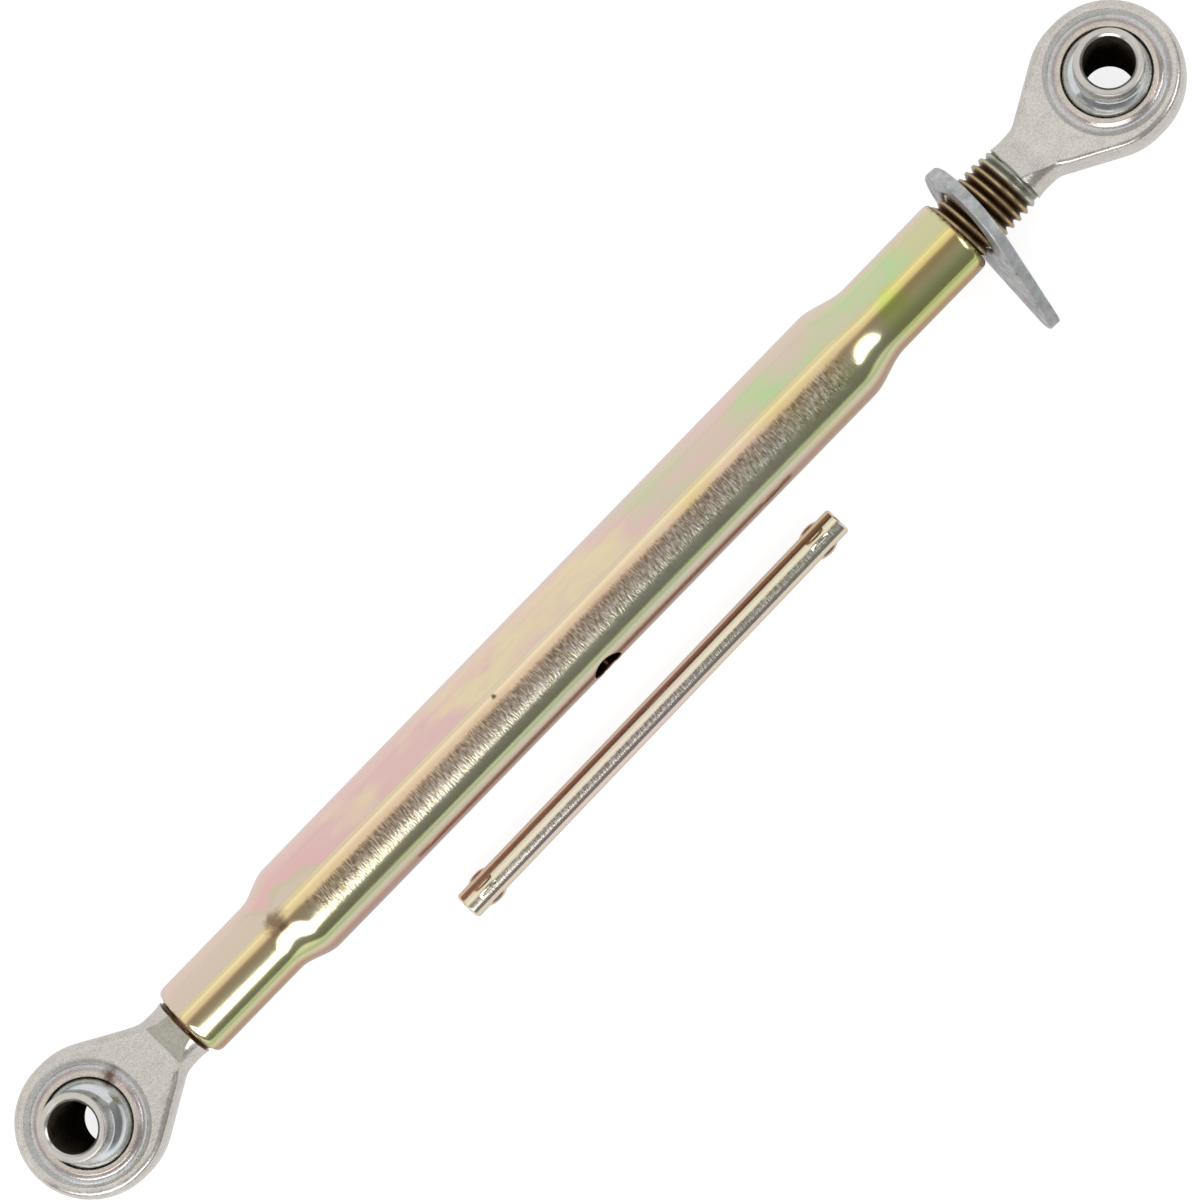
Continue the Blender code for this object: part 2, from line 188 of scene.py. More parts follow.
def noise(tree, point, size, stretch=(1, 1, 1), detail=3.0, rough=0.55, shift=(0, 0, 0)):
    """Cloudy noise from 0 to 1 whose grains are about size metres, longer where stretch is larger."""
    scale = [1 / (size * s) for s in stretch]
    place = add(tree, "Mapping", {"Vector": point, "Location": shift, "Scale": scale})
    inputs = {"Vector": place, "Scale": 1.0, "Detail": detail, "Roughness": rough}
    return add(tree, "TexNoise", inputs)


# %% Places on a piece
SPOT_WOBBLE = 0.7


def square_to(axis):
    """The way square to an axis that is nearest to ALONG: ALONG less its own part on the axis."""
    way = ALONG - axis * (ALONG @ axis)
    return way / np.linalg.norm(way)


def round_place(tree, middle, axis, first):
    """Where a point is round an axis: its distance along, its distance out, and its angle from first.

    along = d . axis, side = d . first, over = d . (axis x first), out = length of (side, over),
    and angle = atan2(over, side), where d is the point less the middle.
    """
    point = add(tree, "TexCoord", output="Object")
    d = add(tree, "VectorMath", {0: point, 1: tuple(middle)}, operation="SUBTRACT")
    along, side, over = [
        add(tree, "VectorMath", {0: d, 1: tuple(way)}, output="Value", operation="DOT_PRODUCT")
        for way in (axis, first, np.cross(axis, first))
    ]
    flat = add(tree, "CombineXYZ", {0: side, 1: over})
    out = add(tree, "VectorMath", {0: flat}, output="Value", operation="LENGTH")
    return point, along, out, calc(tree, "ARCTAN2", over, side)


def spotted(tree, point, colour, spots):
    """The colour under spots, each a (place, size, colour, strength). Most are dirt; the one on the
    barrel's lower shoulder is a painted dark reflection.

    gap = distance + 2 * size * wobble * noise, and a spot fades as the gap grows by 1.1 * size.
    """
    for place, size, spot_colour, strength in spots:
        gap = add(tree, "VectorMath", {0: point, 1: tuple(place)}, output="Value", operation="DISTANCE")
        uneven = noise(tree, point, size * SPOT_WOBBLE, detail=2.0)
        gap = calc(tree, "MULTIPLY_ADD", uneven, size * SPOT_WOBBLE * 2, gap)
        mark = spread(tree, gap, size * (0.1 + SPOT_WOBBLE), size * (1.2 + SPOT_WOBBLE), 1.0, 0.0)
        colour = blend(tree, calc(tree, "MULTIPLY", mark, strength), colour, spot_colour)
    return colour


# %% A finish and its bump
def start_finish(name):
    """A new material, with its node tree and its shader."""
    material = bpy.data.materials.new(name)
    material.use_nodes = True
    return material, material.node_tree, material.node_tree.nodes["Principled BSDF"]


def bump(tree, height, depth, below=None):
    """A surface raised by height times depth metres, on top of an earlier bump if one is given."""
    inputs = {"Height": height, "Distance": depth, "Strength": 1.0}
    if below is not None:
        inputs["Normal"] = below
    return add(tree, "Bump", inputs)


print("node helpers ready: feed, add, calc, blend, ramp, spread, noise, round_place, stained, bump")

# %% [markdown]
# ## The studio
#
# Bright metal is a mirror for the room, so the room matters as much as the metal. The photographer
# used a white tent on a white table, open above for the camera: the tube shows the tent's bright side
# to the upper left, a dark band where it looks back at the camera, and the white table at its edges.
# A world whose brightness depends on the direction across the link gives that in one node graph. Two
# oval lamps, one off each end, show as the small white lights on the barrel's shoulders.

# %% World
TENT = [
    (0.00, 0.85),
    (0.25, 0.85),
    (0.418, 0.82),
    (0.428, 0.78),
    (0.436, 1.00),
    (0.490, 0.98),
    (0.510, 0.30),
    (0.540, 0.28),
    (0.585, 0.30),
    (0.630, 0.26),
    (0.680, 0.20),
    (0.760, 0.18),
    (0.770, 0.85),
    (1.00, 0.85),
]


def make_world():
    """Brightness by the angle from straight up, across the link: share = atan2(-y, z) / turn + 1/2."""
    world = bpy.data.worlds.new("light_tent")
    world.use_nodes = True
    tree = world.node_tree
    way = add(tree, "TexCoord", output="Generated")
    across = calc(tree, "MULTIPLY", add(tree, "SeparateXYZ", {0: way}, output="Y"), -1.0)
    angle = calc(tree, "ARCTAN2", across, add(tree, "SeparateXYZ", {0: way}, output="Z"))
    share = calc(tree, "MULTIPLY_ADD", angle, 1 / TURN, 0.5)
    path = tree.nodes.new("ShaderNodeLightPath")
    tent = blend(tree, path.outputs["Is Camera Ray"], ramp(tree, share, TENT), (1.0, 1.0, 1.0))
    feed(tree, tree.nodes["Background"], {"Color": tent})
    bpy.context.scene.world = world
    print("world made, with", len(TENT), "stops of brightness")


make_world()

# %% Floor
FLOOR_HALF = 6.0
FLOOR_COLOUR = (0.32, 0.32, 0.32)
FLOOR_SEEN = 0.85
FLOOR_MIRRORED = 0.60


def make_floor():
    """A white table. Rays from the camera and off metal see it a little brighter, so it is white."""
    mesh = bpy.data.meshes.new("floor")
    corners = [(x * FLOOR_HALF, y * FLOOR_HALF, 0) for x, y in ((-1, -1), (1, -1), (1, 1), (-1, 1))]
    mesh.from_pydata(corners, [], [(0, 1, 2, 3)])
    floor = bpy.data.objects.new("floor", mesh)
    bpy.context.scene.collection.objects.link(floor)
    material, tree, shader = start_finish("white_table")
    path = tree.nodes.new("ShaderNodeLightPath").outputs
    straight = calc(tree, "MAXIMUM", path["Is Camera Ray"], path["Is Transmission Ray"])
    straight = calc(tree, "MULTIPLY", straight, FLOOR_SEEN)
    inputs = {
        "Base Color": opaque(FLOOR_COLOUR),
        "Roughness": 0.9,
        "Specular IOR Level": 0.0,
        "Emission Color": opaque((1.0, 1.0, 1.0)),
        "Emission Strength": calc(tree, "MULTIPLY_ADD", path["Is Glossy Ray"], FLOOR_MIRRORED, straight),
    }
    feed(tree, shader, inputs)
    mesh.materials.append(material)
    print("floor", 2 * FLOOR_HALF, "m wide")


make_floor()

# %% Lamps
LAMP_HEIGHT = 1.0


def make_lamp(name, place, width, height, brightness):
    """A soft oval lamp that faces down. Its power is brightness times pi times its area."""
    lamp = bpy.data.lights.new(name, "AREA")
    lamp.shape = "ELLIPSE"
    lamp.size = width
    lamp.size_y = height
    lamp.energy = brightness * math.pi * width * height * math.pi / 4
    item = bpy.data.objects.new(name, lamp)
    item.location = place
    item.visible_camera = False
    bpy.context.scene.collection.objects.link(item)
    print(name, round(lamp.energy, 1), "W")


make_lamp("softbox_lower", (-1.20, -1.25, LAMP_HEIGHT), width=1.96, height=1.90, brightness=2.8)
make_lamp("softbox_upper", (1.04, -0.88, LAMP_HEIGHT), width=0.74, height=1.16, brightness=3.2)

# %% [markdown]
# ## Surfaces from formulas
#
# A piece is made of sheets. A sheet is a grid of points worked out as whole arrays, with quads
# between neighbours. Where two sheets share an edge their points fall on each other, and welding
# them makes one closed skin. `turned` is the lathe: it carries a profile round an axis.


# %% Quads and the lathe
def quads(rows, columns, closed_rows, closed_columns):
    """The quads of a grid, as four point numbers each. A closed side joins its last line to the first."""
    r = np.arange(rows if closed_rows else rows - 1)[:, None]
    c = np.arange(columns if closed_columns else columns - 1)[None, :]
    r_next, c_next = (r + 1) % rows, (c + 1) % columns
    corners = [r * columns + c, r_next * columns + c, r_next * columns + c_next, r * columns + c_next]
    return np.stack(corners, axis=-1).reshape(-1, 4)


def turned(profile, middle, axis, sides):
    """Carries a closed row of (along, out) points round an axis, as a sheet that closes both ways.

    point = middle + along * axis + out * (cos(angle) * first + sin(angle) * second)
    """
    first = square_to(axis)
    angles = np.arange(sides) * TURN / sides
    ring = np.cos(angles)[:, None] * first + np.sin(angles)[:, None] * np.cross(axis, first)
    along, out = profile.T
    return middle + along[:, None, None] * axis + out[:, None, None] * ring, True, True


# %% Rounded corners and eased steps
def row(along, out):
    """Profile points from distances along, with one distance out for all of them or one for each."""
    return np.stack(np.broadcast_arrays(along, out), axis=-1)


def rounded(corners, steps):
    """A line through (a, b, radius) corners, each eased by an arc that touches both of its sides."""
    points = [np.array(corners[0][:2], float)]
    for before, corner, after in zip(corners, corners[1:], corners[2:]):
        here = np.array(corner[:2], float)
        back = np.array(before[:2]) - here
        on = np.array(after[:2]) - here
        back, on = back / np.linalg.norm(back), on / np.linalg.norm(on)
        half = math.acos(np.clip(back @ on, -1, 1)) / 2
        reach = corner[2] / math.tan(half)
        centre = here + (back + on) / np.linalg.norm(back + on) * corner[2] / math.sin(half)
        start, end = here + back * reach - centre, here + on * reach - centre
        first = math.atan2(start[1], start[0])
        sweep = (math.atan2(end[1], end[0]) - first + math.pi) % TURN - math.pi
        turn = first + sweep * np.linspace(0, 1, steps)
        points += list(centre + corner[2] * np.stack([np.cos(turn), np.sin(turn)], axis=-1))
    points.append(np.array(corners[-1][:2], float))
    return np.array(points)


def eased(first, second, share):
    """A smooth step: half a cosine wave from one value to the other."""
    return first + (second - first) * (1 - np.cos(math.pi * share)) / 2


def larger(first, second, ease):
    """The larger of two values with a round change-over: (a + b + root((a - b)^2 + ease^2)) / 2."""
    return (first + second + np.sqrt((first - second) ** 2 + ease**2)) / 2


# %% From sheets to a piece
def make_piece(name, sheets, body, node, finish, sharp=50):
    """One object from sheets: the points are put together, welded, and given smooth shading."""
    mesh = bpy.data.meshes.new(name)
    counts = [sheet.shape[0] * sheet.shape[1] for sheet, _, _ in sheets]
    starts = np.concatenate([[0], np.cumsum(counts)])
    points = np.concatenate([sheet.reshape(-1, 3) for sheet, _, _ in sheets])
    faces = [quads(*sheet.shape[:2], rows, columns) for sheet, rows, columns in sheets]
    faces = np.concatenate([numbers + start for numbers, start in zip(faces, starts)])
    mesh.vertices.add(len(points))
    mesh.vertices.foreach_set("co", points.ravel())
    mesh.loops.add(faces.size)
    mesh.loops.foreach_set("vertex_index", faces.ravel())
    mesh.polygons.add(len(faces))
    mesh.polygons.foreach_set("loop_start", np.arange(len(faces)) * 4)
    mesh.update(calc_edges=True)
    work = bmesh.new()
    work.from_mesh(mesh)
    bmesh.ops.remove_doubles(work, verts=work.verts, dist=2e-6)
    bmesh.ops.dissolve_degenerate(work, edges=work.edges, dist=1e-7)
    bmesh.ops.recalc_face_normals(work, faces=work.faces)
    open_edges = sum(not edge.is_manifold for edge in work.edges)
    work.to_mesh(mesh)
    work.free()
    mesh.shade_smooth()
    mesh.set_sharp_from_angle(angle=math.radians(sharp))
    mesh.materials.append(finish)
    piece = bpy.data.objects.new(name, mesh)
    bpy.context.scene.collection.objects.link(piece)
    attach(piece, body)
    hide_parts(node)
    print(name, len(mesh.polygons), "faces,", open_edges, "open edges")


# %% [markdown]
# ## Yellow zinc
#
# The barrel and the tommy bar are zinc plated and then dipped in chromate. The chromate is a clear
# film about as thick as a wavelength of light, so it shows the colours of oil on water: straw, gold,
# rose, lilac, sea green and lime. A shader for thin films could work them out from a thickness, but
# then every colour moves when one is corrected, so the colours are written down as rows of stops.
# One side of the tube is a field whose colour drifts from end to end. Past a seam, narrow bands run
# the whole length, and their colour changes round the tube, under a tint that drifts along. On the
# barrel the darkest bands, at the edge towards -Y, are painted shade: the shadowed table mirrored in
# the tube. Noise makes all of them waver. The mill's skin shows beside the top as short grains that
# run round the tube, with light flecks on them that are painted glints. There are dark marks and rust
# where the dip did not reach, and one dark mark on the lower shoulder is a painted reflection of
# something dark.

# %% Film of the yellow zinc
RIM_FILM = (0.84, 0.63, 0.56)
RIM_STARTS = math.radians(-72)
RIM_ENDS = math.radians(-38)
RIM_SHARE = 0.75
DRIFT_SIZE = 24 * MM
DRIFT_REACH = 0.18
WAVER_SIZE = 5 * MM
WAVER_REACH = 0.035
SEAM_BLUR = 1.0


def round_stops(bands):
    """Bands given by their angle from the top, in degrees, as stops from 0 to 1 over the half turn."""
    return [((degrees + 90) / 180, colour) for degrees, colour in bands]


def film_colour(tree, point, along, angle, half, field, bands, tint, seam):
    """The field before the seam's angle, in degrees, and the bands past it.

    The field and the tint are read at along / (2 * half) + 1/2, give or take the drift. The bands are
    read at the angle, give or take the waver.
    """
    drift = noise(tree, point, DRIFT_SIZE, (2.2, 1, 1))
    share = calc(tree, "MULTIPLY_ADD", along, 0.5 / half, 0.5)
    share = calc(tree, "ADD", share, spread(tree, drift, 0.28, 0.72, -DRIFT_REACH, DRIFT_REACH))
    rim = spread(tree, angle, RIM_STARTS, RIM_ENDS, RIM_SHARE, 0.0)
    before = blend(tree, rim, ramp(tree, share, field), RIM_FILM)
    waver = noise(tree, point, WAVER_SIZE, (22, 1, 1), detail=2.0, shift=(0.3, 0.1, 0.0))
    wavered = calc(tree, "MULTIPLY_ADD", waver, 2 * WAVER_REACH, calc(tree, "SUBTRACT", angle, WAVER_REACH))
    past = ramp(tree, calc(tree, "MULTIPLY_ADD", wavered, 1 / math.pi, 0.5), round_stops(bands))
    past = blend(tree, 1.0, past, ramp(tree, share, tint), "MULTIPLY")
    over = spread(tree, wavered, math.radians(seam - SEAM_BLUR), math.radians(seam + SEAM_BLUR))
    return blend(tree, over, before, past)


print("film: drifts over", DRIFT_SIZE, "m, wavers over", WAVER_SIZE, "m")

# %% Grain of the yellow zinc
GRAIN_FROM = math.radians(0)
GRAIN_FULL = math.radians(8)
GRAIN_LEAVES = math.radians(27)
GRAIN_ENDS = math.radians(40)
GRAIN_LEFT = 0.06
GRAIN_DARK = (0.60, 0.50, 0.42)
# Painted glints: the light flecks on the grain stand in for the sparkle of the rough skin.
GRAIN_PAINTED_GLINT = (0.82, 0.76, 0.68)
GRAIN_HEIGHT = 0.11


def mill_grain(tree, point, along, angle, smooth_from, grain_size):
    """The grain, and how coarse the skin is: 1 in a strip beside the top, and little past smooth_from."""
    grain = noise(tree, point, grain_size, (0.8, 3.0, 3.0), detail=2.0, rough=0.6)
    starts = spread(tree, angle, GRAIN_FROM, GRAIN_FULL)
    leaves = spread(tree, angle, GRAIN_LEAVES, GRAIN_ENDS, 1.0, GRAIN_LEFT)
    distance = calc(tree, "ABSOLUTE", along)
    ends = spread(tree, distance, smooth_from - 8 * MM, smooth_from + 4 * MM, 1.0, GRAIN_LEFT)
    return grain, calc(tree, "MULTIPLY", calc(tree, "MULTIPLY", starts, leaves), ends)


print("grain: from", GRAIN_FROM, "to", round(GRAIN_ENDS, 3), "rad from the top")

# %% Yellow zinc
FINE_ROUGH = 0.15
COARSE_ROUGH = 0.06
RIPPLE_SIZE = 16 * MM
RIPPLE_HEIGHT = 0.06 * MM
RUST = (0.22, 0.085, 0.03)
RUST_FLAKE = 2.2 * MM


def yellow_zinc(name, middle, axis, half, film, smooth_from, grain_size, spots=(), rust=()):
    """Chromated zinc round an axis: the film, the grain with painted glints, spots of dirt and of painted
    dark reflection, and rust at (place, reach, strength).
    """
    material, tree, shader = start_finish(name)
    point, along, _, angle = round_place(tree, middle, axis, UP)
    colour = film_colour(tree, point, along, angle, half, **film)
    grain, coarse = mill_grain(tree, point, along, angle, smooth_from, grain_size)
    dark = calc(tree, "MULTIPLY", spread(tree, grain, 0.36, 0.52, 0.8, 0.0), coarse)
    colour = blend(tree, dark, colour, GRAIN_DARK, "MULTIPLY")
    # Painted glints: light, less metallic flecks on the grain, in place of the skin's sparkle.
    painted_glint = calc(tree, "MULTIPLY", spread(tree, grain, 0.50, 0.64), coarse)
    colour = blend(tree, calc(tree, "MULTIPLY", painted_glint, 0.5), colour, GRAIN_PAINTED_GLINT)
    colour = spotted(tree, point, colour, spots)
    ripple = noise(tree, point, RIPPLE_SIZE, (3, 1, 1), shift=(0.7, 0.2, 0.4))
    roughness = spread(tree, ripple, 0.3, 0.7, FINE_ROUGH - 0.02, FINE_ROUGH + 0.03)
    roughness = calc(tree, "MULTIPLY_ADD", coarse, COARSE_ROUGH, roughness)
    for place, reach, strength in rust:
        gap = calc(tree, "ABSOLUTE", calc(tree, "SUBTRACT", along, place))
        flakes = spread(tree, noise(tree, point, RUST_FLAKE, detail=4.0), 0.40, 0.60)
        rusty = calc(tree, "MULTIPLY", spread(tree, gap, 0.0, reach, 1.0, 0.0), flakes)
        rusty = calc(tree, "MULTIPLY", rusty, strength)
        colour = blend(tree, rusty, colour, RUST)
        roughness = calc(tree, "MULTIPLY_ADD", rusty, 0.4, roughness)
    raised = calc(tree, "MULTIPLY", grain, coarse)
    inputs = {
        "Base Color": colour,
        "Metallic": calc(tree, "MULTIPLY_ADD", painted_glint, -0.35, 1.0),
        "Roughness": roughness,
        "Normal": bump(tree, raised, grain_size * GRAIN_HEIGHT, bump(tree, ripple, RIPPLE_HEIGHT)),
    }
    feed(tree, shader, inputs)
    return material


print("yellow zinc: roughness", FINE_ROUGH, "and", COARSE_ROUGH, "more on the grain")

# %% [markdown]
# ## Clear zinc on a forging
#
# The eyes are drop forged, so their skin is satin, a little grainy and slightly warm. The plating is
# the same zinc without the yellow: lilac and blue where the dish was pressed in, and brown where oil
# burnt on. The screw is cut in the same bar, and old grease lies in it: dark brown in the roots, gold
# brown on the crests, and silver again on the last turns beside the neck. Part of the roots' darkness
# is painted shade, and on the clean turns all of it is.

# %% Colours of the clear zinc
NECK_END = 49.5 * MM
RAMP_START = 39.5 * MM
THREAD_OUT = 13.5 * MM
THREAD_DEPTH = 2.2 * MM
TINT_FROM = 16.5 * MM
TINT_TO = 25.0 * MM
PORE = (0.30, 0.26, 0.22)
FORGED_GREY = [
    (0.25, (0.64, 0.60, 0.555)),
    (0.50, (0.74, 0.70, 0.655)),
    (0.75, (0.82, 0.79, 0.75)),
]
EYE_TINT = [
    (0.0, (1.00, 0.96, 0.90)),
    (0.22, (0.97, 0.91, 0.86)),
    (0.42, (0.84, 0.81, 0.88)),
    (0.62, (0.90, 0.95, 1.0)),
    (0.84, (0.98, 1.0, 1.0)),
    (1.0, (1.0, 0.99, 0.97)),
]
GREASE_AND_ROOT_SHADE = [
    (0.0, (0.065, 0.034, 0.016)),
    (0.34, (0.13, 0.072, 0.032)),
    (0.60, (0.30, 0.19, 0.085)),
    (1.0, (0.48, 0.36, 0.20)),
]
CLEAN_TURNS_ROOT_SHADE = [(0.0, (0.22, 0.22, 0.18)), (1.0, (0.62, 0.64, 0.54))]


def satin_colour(tree, out, down, mottle, speck, ramp_shade):
    """Mottled grey, shaded on the ramp beside the neck where it faces up, tinted by the distance out."""
    colour = ramp(tree, mottle, FORGED_GREY)
    colour = blend(tree, 1.0, colour, ramp(tree, speck, [(0.34, 0.78), (0.62, 1.0)]), "MULTIPLY")
    facing = add(tree, "TexCoord", output="Normal")
    level = add(tree, "SeparateXYZ", {0: facing}, output="Z")
    shade = spread(tree, down, RAMP_START, RAMP_START + 0.6 * MM)
    shade = calc(tree, "MULTIPLY", shade, spread(tree, level, 0.86, 0.93))
    colour = blend(tree, shade, colour, ramp_shade, "MULTIPLY")
    tint = ramp(tree, spread(tree, out, TINT_FROM, TINT_TO), EYE_TINT)
    colour = blend(tree, 1.0, colour, tint, "MULTIPLY")
    return blend(tree, spread(tree, speck, 0.70, 0.78, 0.0, 0.6), colour, PORE)


def screw_colour(tree, mottle, down, off_axis, clean):
    """Grease, and clean turns from the neck up to the distance clean, both darker in the roots. On the
    clean turns the dark roots are painted shade; in the grease they are thicker grease and painted shade.
    """
    height = spread(tree, off_axis, THREAD_OUT - THREAD_DEPTH, THREAD_OUT)
    # Darker towards the roots: grease lying thicker there, and painted shade.
    grease_and_shade = calc(tree, "MULTIPLY_ADD", mottle, 0.25, calc(tree, "SUBTRACT", height, 0.12))
    worn = calc(tree, "MULTIPLY_ADD", mottle, 6 * MM, down)
    greasy = spread(tree, worn, NECK_END + clean, NECK_END + clean + 4 * MM)
    return blend(tree, greasy, ramp(tree, height, CLEAN_TURNS_ROOT_SHADE), ramp(tree, grease_and_shade, GREASE_AND_ROOT_SHADE))


print("clear zinc: tinted from", TINT_FROM, "to", TINT_TO, "m round the eye")

# %% Clear zinc
MOTTLE_SIZE = 6 * MM
SPECK_SIZE = 0.7 * MM


def forging_zinc(name, eye, towards, ramp_shade, clean, roll=0.0, spots=()):
    """Satin zinc round one eye, whose screw runs away from it towards +X or -X."""
    material, tree, shader = start_finish(name)
    point, _, out, _ = round_place(tree, eye, np.array([0, math.sin(roll), math.cos(roll)]), ALONG)
    _, down, off_axis, _ = round_place(tree, eye, ALONG * towards, UP)
    mottle = noise(tree, point, MOTTLE_SIZE, detail=4.0, rough=0.65)
    speck = noise(tree, point, SPECK_SIZE, detail=2.0)
    colour = satin_colour(tree, out, down, mottle, speck, ramp_shade)
    colour = spotted(tree, point, colour, spots)
    screw = spread(tree, down, NECK_END - 0.2 * MM, NECK_END + 0.2 * MM)
    inputs = {
        "Base Color": blend(tree, screw, colour, screw_colour(tree, mottle, down, off_axis, clean)),
        "Metallic": 0.75,
        "Roughness": spread(tree, mottle, 0.3, 0.7, 0.20, 0.31),
        "Normal": bump(tree, speck, 0.03 * MM, bump(tree, mottle, 0.14 * MM)),
    }
    feed(tree, shader, inputs)
    return material


print("clear zinc: mottled over", MOTTLE_SIZE, "m, specked over", SPECK_SIZE, "m")

# %% [markdown]
# ## Bright zinc on the balls, and dull zinc on the lever
#
# The balls are turned and polished before plating, so they are the brightest pieces, with fine rings
# from the lathe. Inside the bore the colour is painted shade: near black, with no metal and no gloss.
# The lever is stamped from plate and hot dipped, which leaves a dull, mottled grey.

# %% Bright zinc
BORE_RADIUS = 9.7 * MM
BALL_HALF = 22.0 * MM
RING_PITCH = 0.6 * MM
RING_HEIGHT = 0.004 * MM
BRIGHT_ZINC = [(0.3, (0.66, 0.68, 0.69)), (0.55, (0.76, 0.79, 0.81)), (0.8, (0.64, 0.74, 0.80))]
END_SATIN = [(0.3, (0.60, 0.565, 0.51)), (0.7, (0.70, 0.67, 0.62))]
# Painted shade inside the bore: near black.
BORE_PAINTED_SHADE = [(0.3, (0.025, 0.018, 0.013)), (0.7, (0.085, 0.064, 0.046))]


def ball_zinc(name, eye, bore):
    """Bright turned zinc outside, satin on the two end faces, and painted shade inside the bore."""
    material, tree, shader = start_finish(name)
    point, along, out, _ = round_place(tree, eye, bore, square_to(bore))
    cloud = noise(tree, point, 5 * MM)
    face = spread(tree, calc(tree, "ABSOLUTE", along), BALL_HALF - 0.9 * MM, BALL_HALF - 0.1 * MM)
    colour = blend(tree, face, ramp(tree, cloud, BRIGHT_ZINC), ramp(tree, cloud, END_SATIN))
    inside = spread(tree, out, BORE_RADIUS + 0.1 * MM, BORE_RADIUS + 0.4 * MM, 1.0, 0.0)
    outside = calc(tree, "SUBTRACT", 1.0, inside)
    rough = spread(tree, cloud, 0.3, 0.7, 0.12, 0.20)
    rough = calc(tree, "MULTIPLY_ADD", face, 0.20, rough)
    rings = calc(tree, "MULTIPLY", calc(tree, "ADD", along, out), TURN / RING_PITCH)
    inputs = {
        # Inside the bore: painted shade, near black, with no metal and no gloss.
        "Base Color": blend(tree, inside, colour, ramp(tree, cloud, BORE_PAINTED_SHADE)),
        "Metallic": outside,
        "Specular IOR Level": calc(tree, "MULTIPLY", outside, 0.5),
        "Roughness": calc(tree, "MULTIPLY_ADD", inside, 0.3, rough),
        "Normal": bump(tree, calc(tree, "SINE", rings), RING_HEIGHT),
    }
    feed(tree, shader, inputs)
    return material


print("bright zinc: a ring every", RING_PITCH, "m")

# %% Dull zinc
DIPPED_GREY = [(0.3, (0.34, 0.355, 0.36)), (0.5, (0.50, 0.51, 0.515)), (0.7, (0.64, 0.65, 0.67))]
SPANGLES_A_METRE = 260.0


def lever_zinc(name, spots):
    """Hot-dipped plate: mottled grey, with larger spangles under a fine grain."""
    material, tree, shader = start_finish(name)
    point = add(tree, "TexCoord", output="Object")
    mottle = noise(tree, point, 4 * MM, detail=5.0, rough=0.7)
    spangle = add(tree, "TexVoronoi", {"Vector": point, "Scale": SPANGLES_A_METRE}, output="Color")
    colour = blend(tree, 0.10, ramp(tree, mottle, DIPPED_GREY), spangle, "SOFT_LIGHT")
    inputs = {
        "Base Color": spotted(tree, point, colour, spots),
        "Metallic": 0.55,
        "Roughness": spread(tree, mottle, 0.3, 0.7, 0.5, 0.3),
        "Normal": bump(tree, mottle, 0.2 * MM),
    }
    feed(tree, shader, inputs)
    return material


print("dull zinc:", SPANGLES_A_METRE, "spangles a metre")

# %% [markdown]
# ## The barrel
#
# A plain tube is squeezed at both ends until its wall is thick enough to tap. Its outside is one
# curve: a round rim, the swaged end, an eased shoulder and the full diameter. The cross hole for the
# tommy bar is the hard part: a Boolean would leave ragged triangles in a mirror-bright surface. Here a
# square of the grid round the hole is left out, and a sheet that turns from the square into the
# hole's circle fills it, so the quads stay even and the highlight runs past the hole unbroken.

# %% Barrel sizes
SWAGED_RADIUS = 15.8 * MM
SWAGED_LENGTH = 43.5 * MM
SHOULDER_LENGTHS = {-1: 16.5 * MM, 1: 20.5 * MM}
RIM_LENGTH = 3.0 * MM
RIM_FLAT = 0.4 * MM
TAPPED_RADIUS = THREAD_OUT + 0.3 * MM
TUBE_BORE = 16.2 * MM
CROSS_HOLE = 6.6 * MM
HOLE_RISE = math.radians(10)
HOLE_EDGE = 0.5 * MM
TUBE_SIDES = 160
HOLE_BLOCK = 12
HOLE_REACH = 11.0 * MM
print("swaged ends", SWAGED_LENGTH, "m long, cross hole", 2 * CROSS_HOLE, "m wide")


# %% One half of the barrel
def barrel_half(way):
    """(along, out) rows of the outside and of the bore, from the rim to the hole's block, way -1 or 1."""
    shoulder = SHOULDER_LENGTHS[way]
    mouth = TAPPED_RADIUS + RIM_FLAT
    quarter = np.linspace(0, math.pi / 2, 12)
    end = SWAGED_LENGTH * np.linspace(0.2, 0.9, 8)
    share = np.linspace(0, 1, 24)
    slope = SWAGED_LENGTH + shoulder * share
    plain = np.linspace(SWAGED_LENGTH + shoulder, BARREL_HALF - HOLE_REACH, 10)[1:]
    outside = np.concatenate(
        [
            row(RIM_LENGTH * (1 - np.cos(quarter)), mouth + (SWAGED_RADIUS - mouth) * np.sin(quarter)),
            row(end, SWAGED_RADIUS),
            row(slope, eased(SWAGED_RADIUS, BARREL_RADIUS, share)),
            row(plain, BARREL_RADIUS),
        ]
    )
    bore = np.concatenate(
        [
            row(SWAGED_LENGTH * np.array([0, 0.5]), TAPPED_RADIUS),
            row(slope, eased(TAPPED_RADIUS, TUBE_BORE, share)),
            row(plain, TUBE_BORE),
        ]
    )
    for points in (outside, bore):
        points[:, 0] = way * (BARREL_HALF - points[:, 0])
    return outside, bore


def tube_point(along, angle, out):
    """A point of the tube from its distances along and out, and its angle from the far hole."""
    angle = angle - HOLE_RISE
    return BARREL_MIDDLE + np.stack([along, out * np.cos(angle), out * np.sin(angle)], axis=-1)


print("one half has", len(barrel_half(1)[0]), "rows outside and", len(barrel_half(1)[1]), "in the bore")


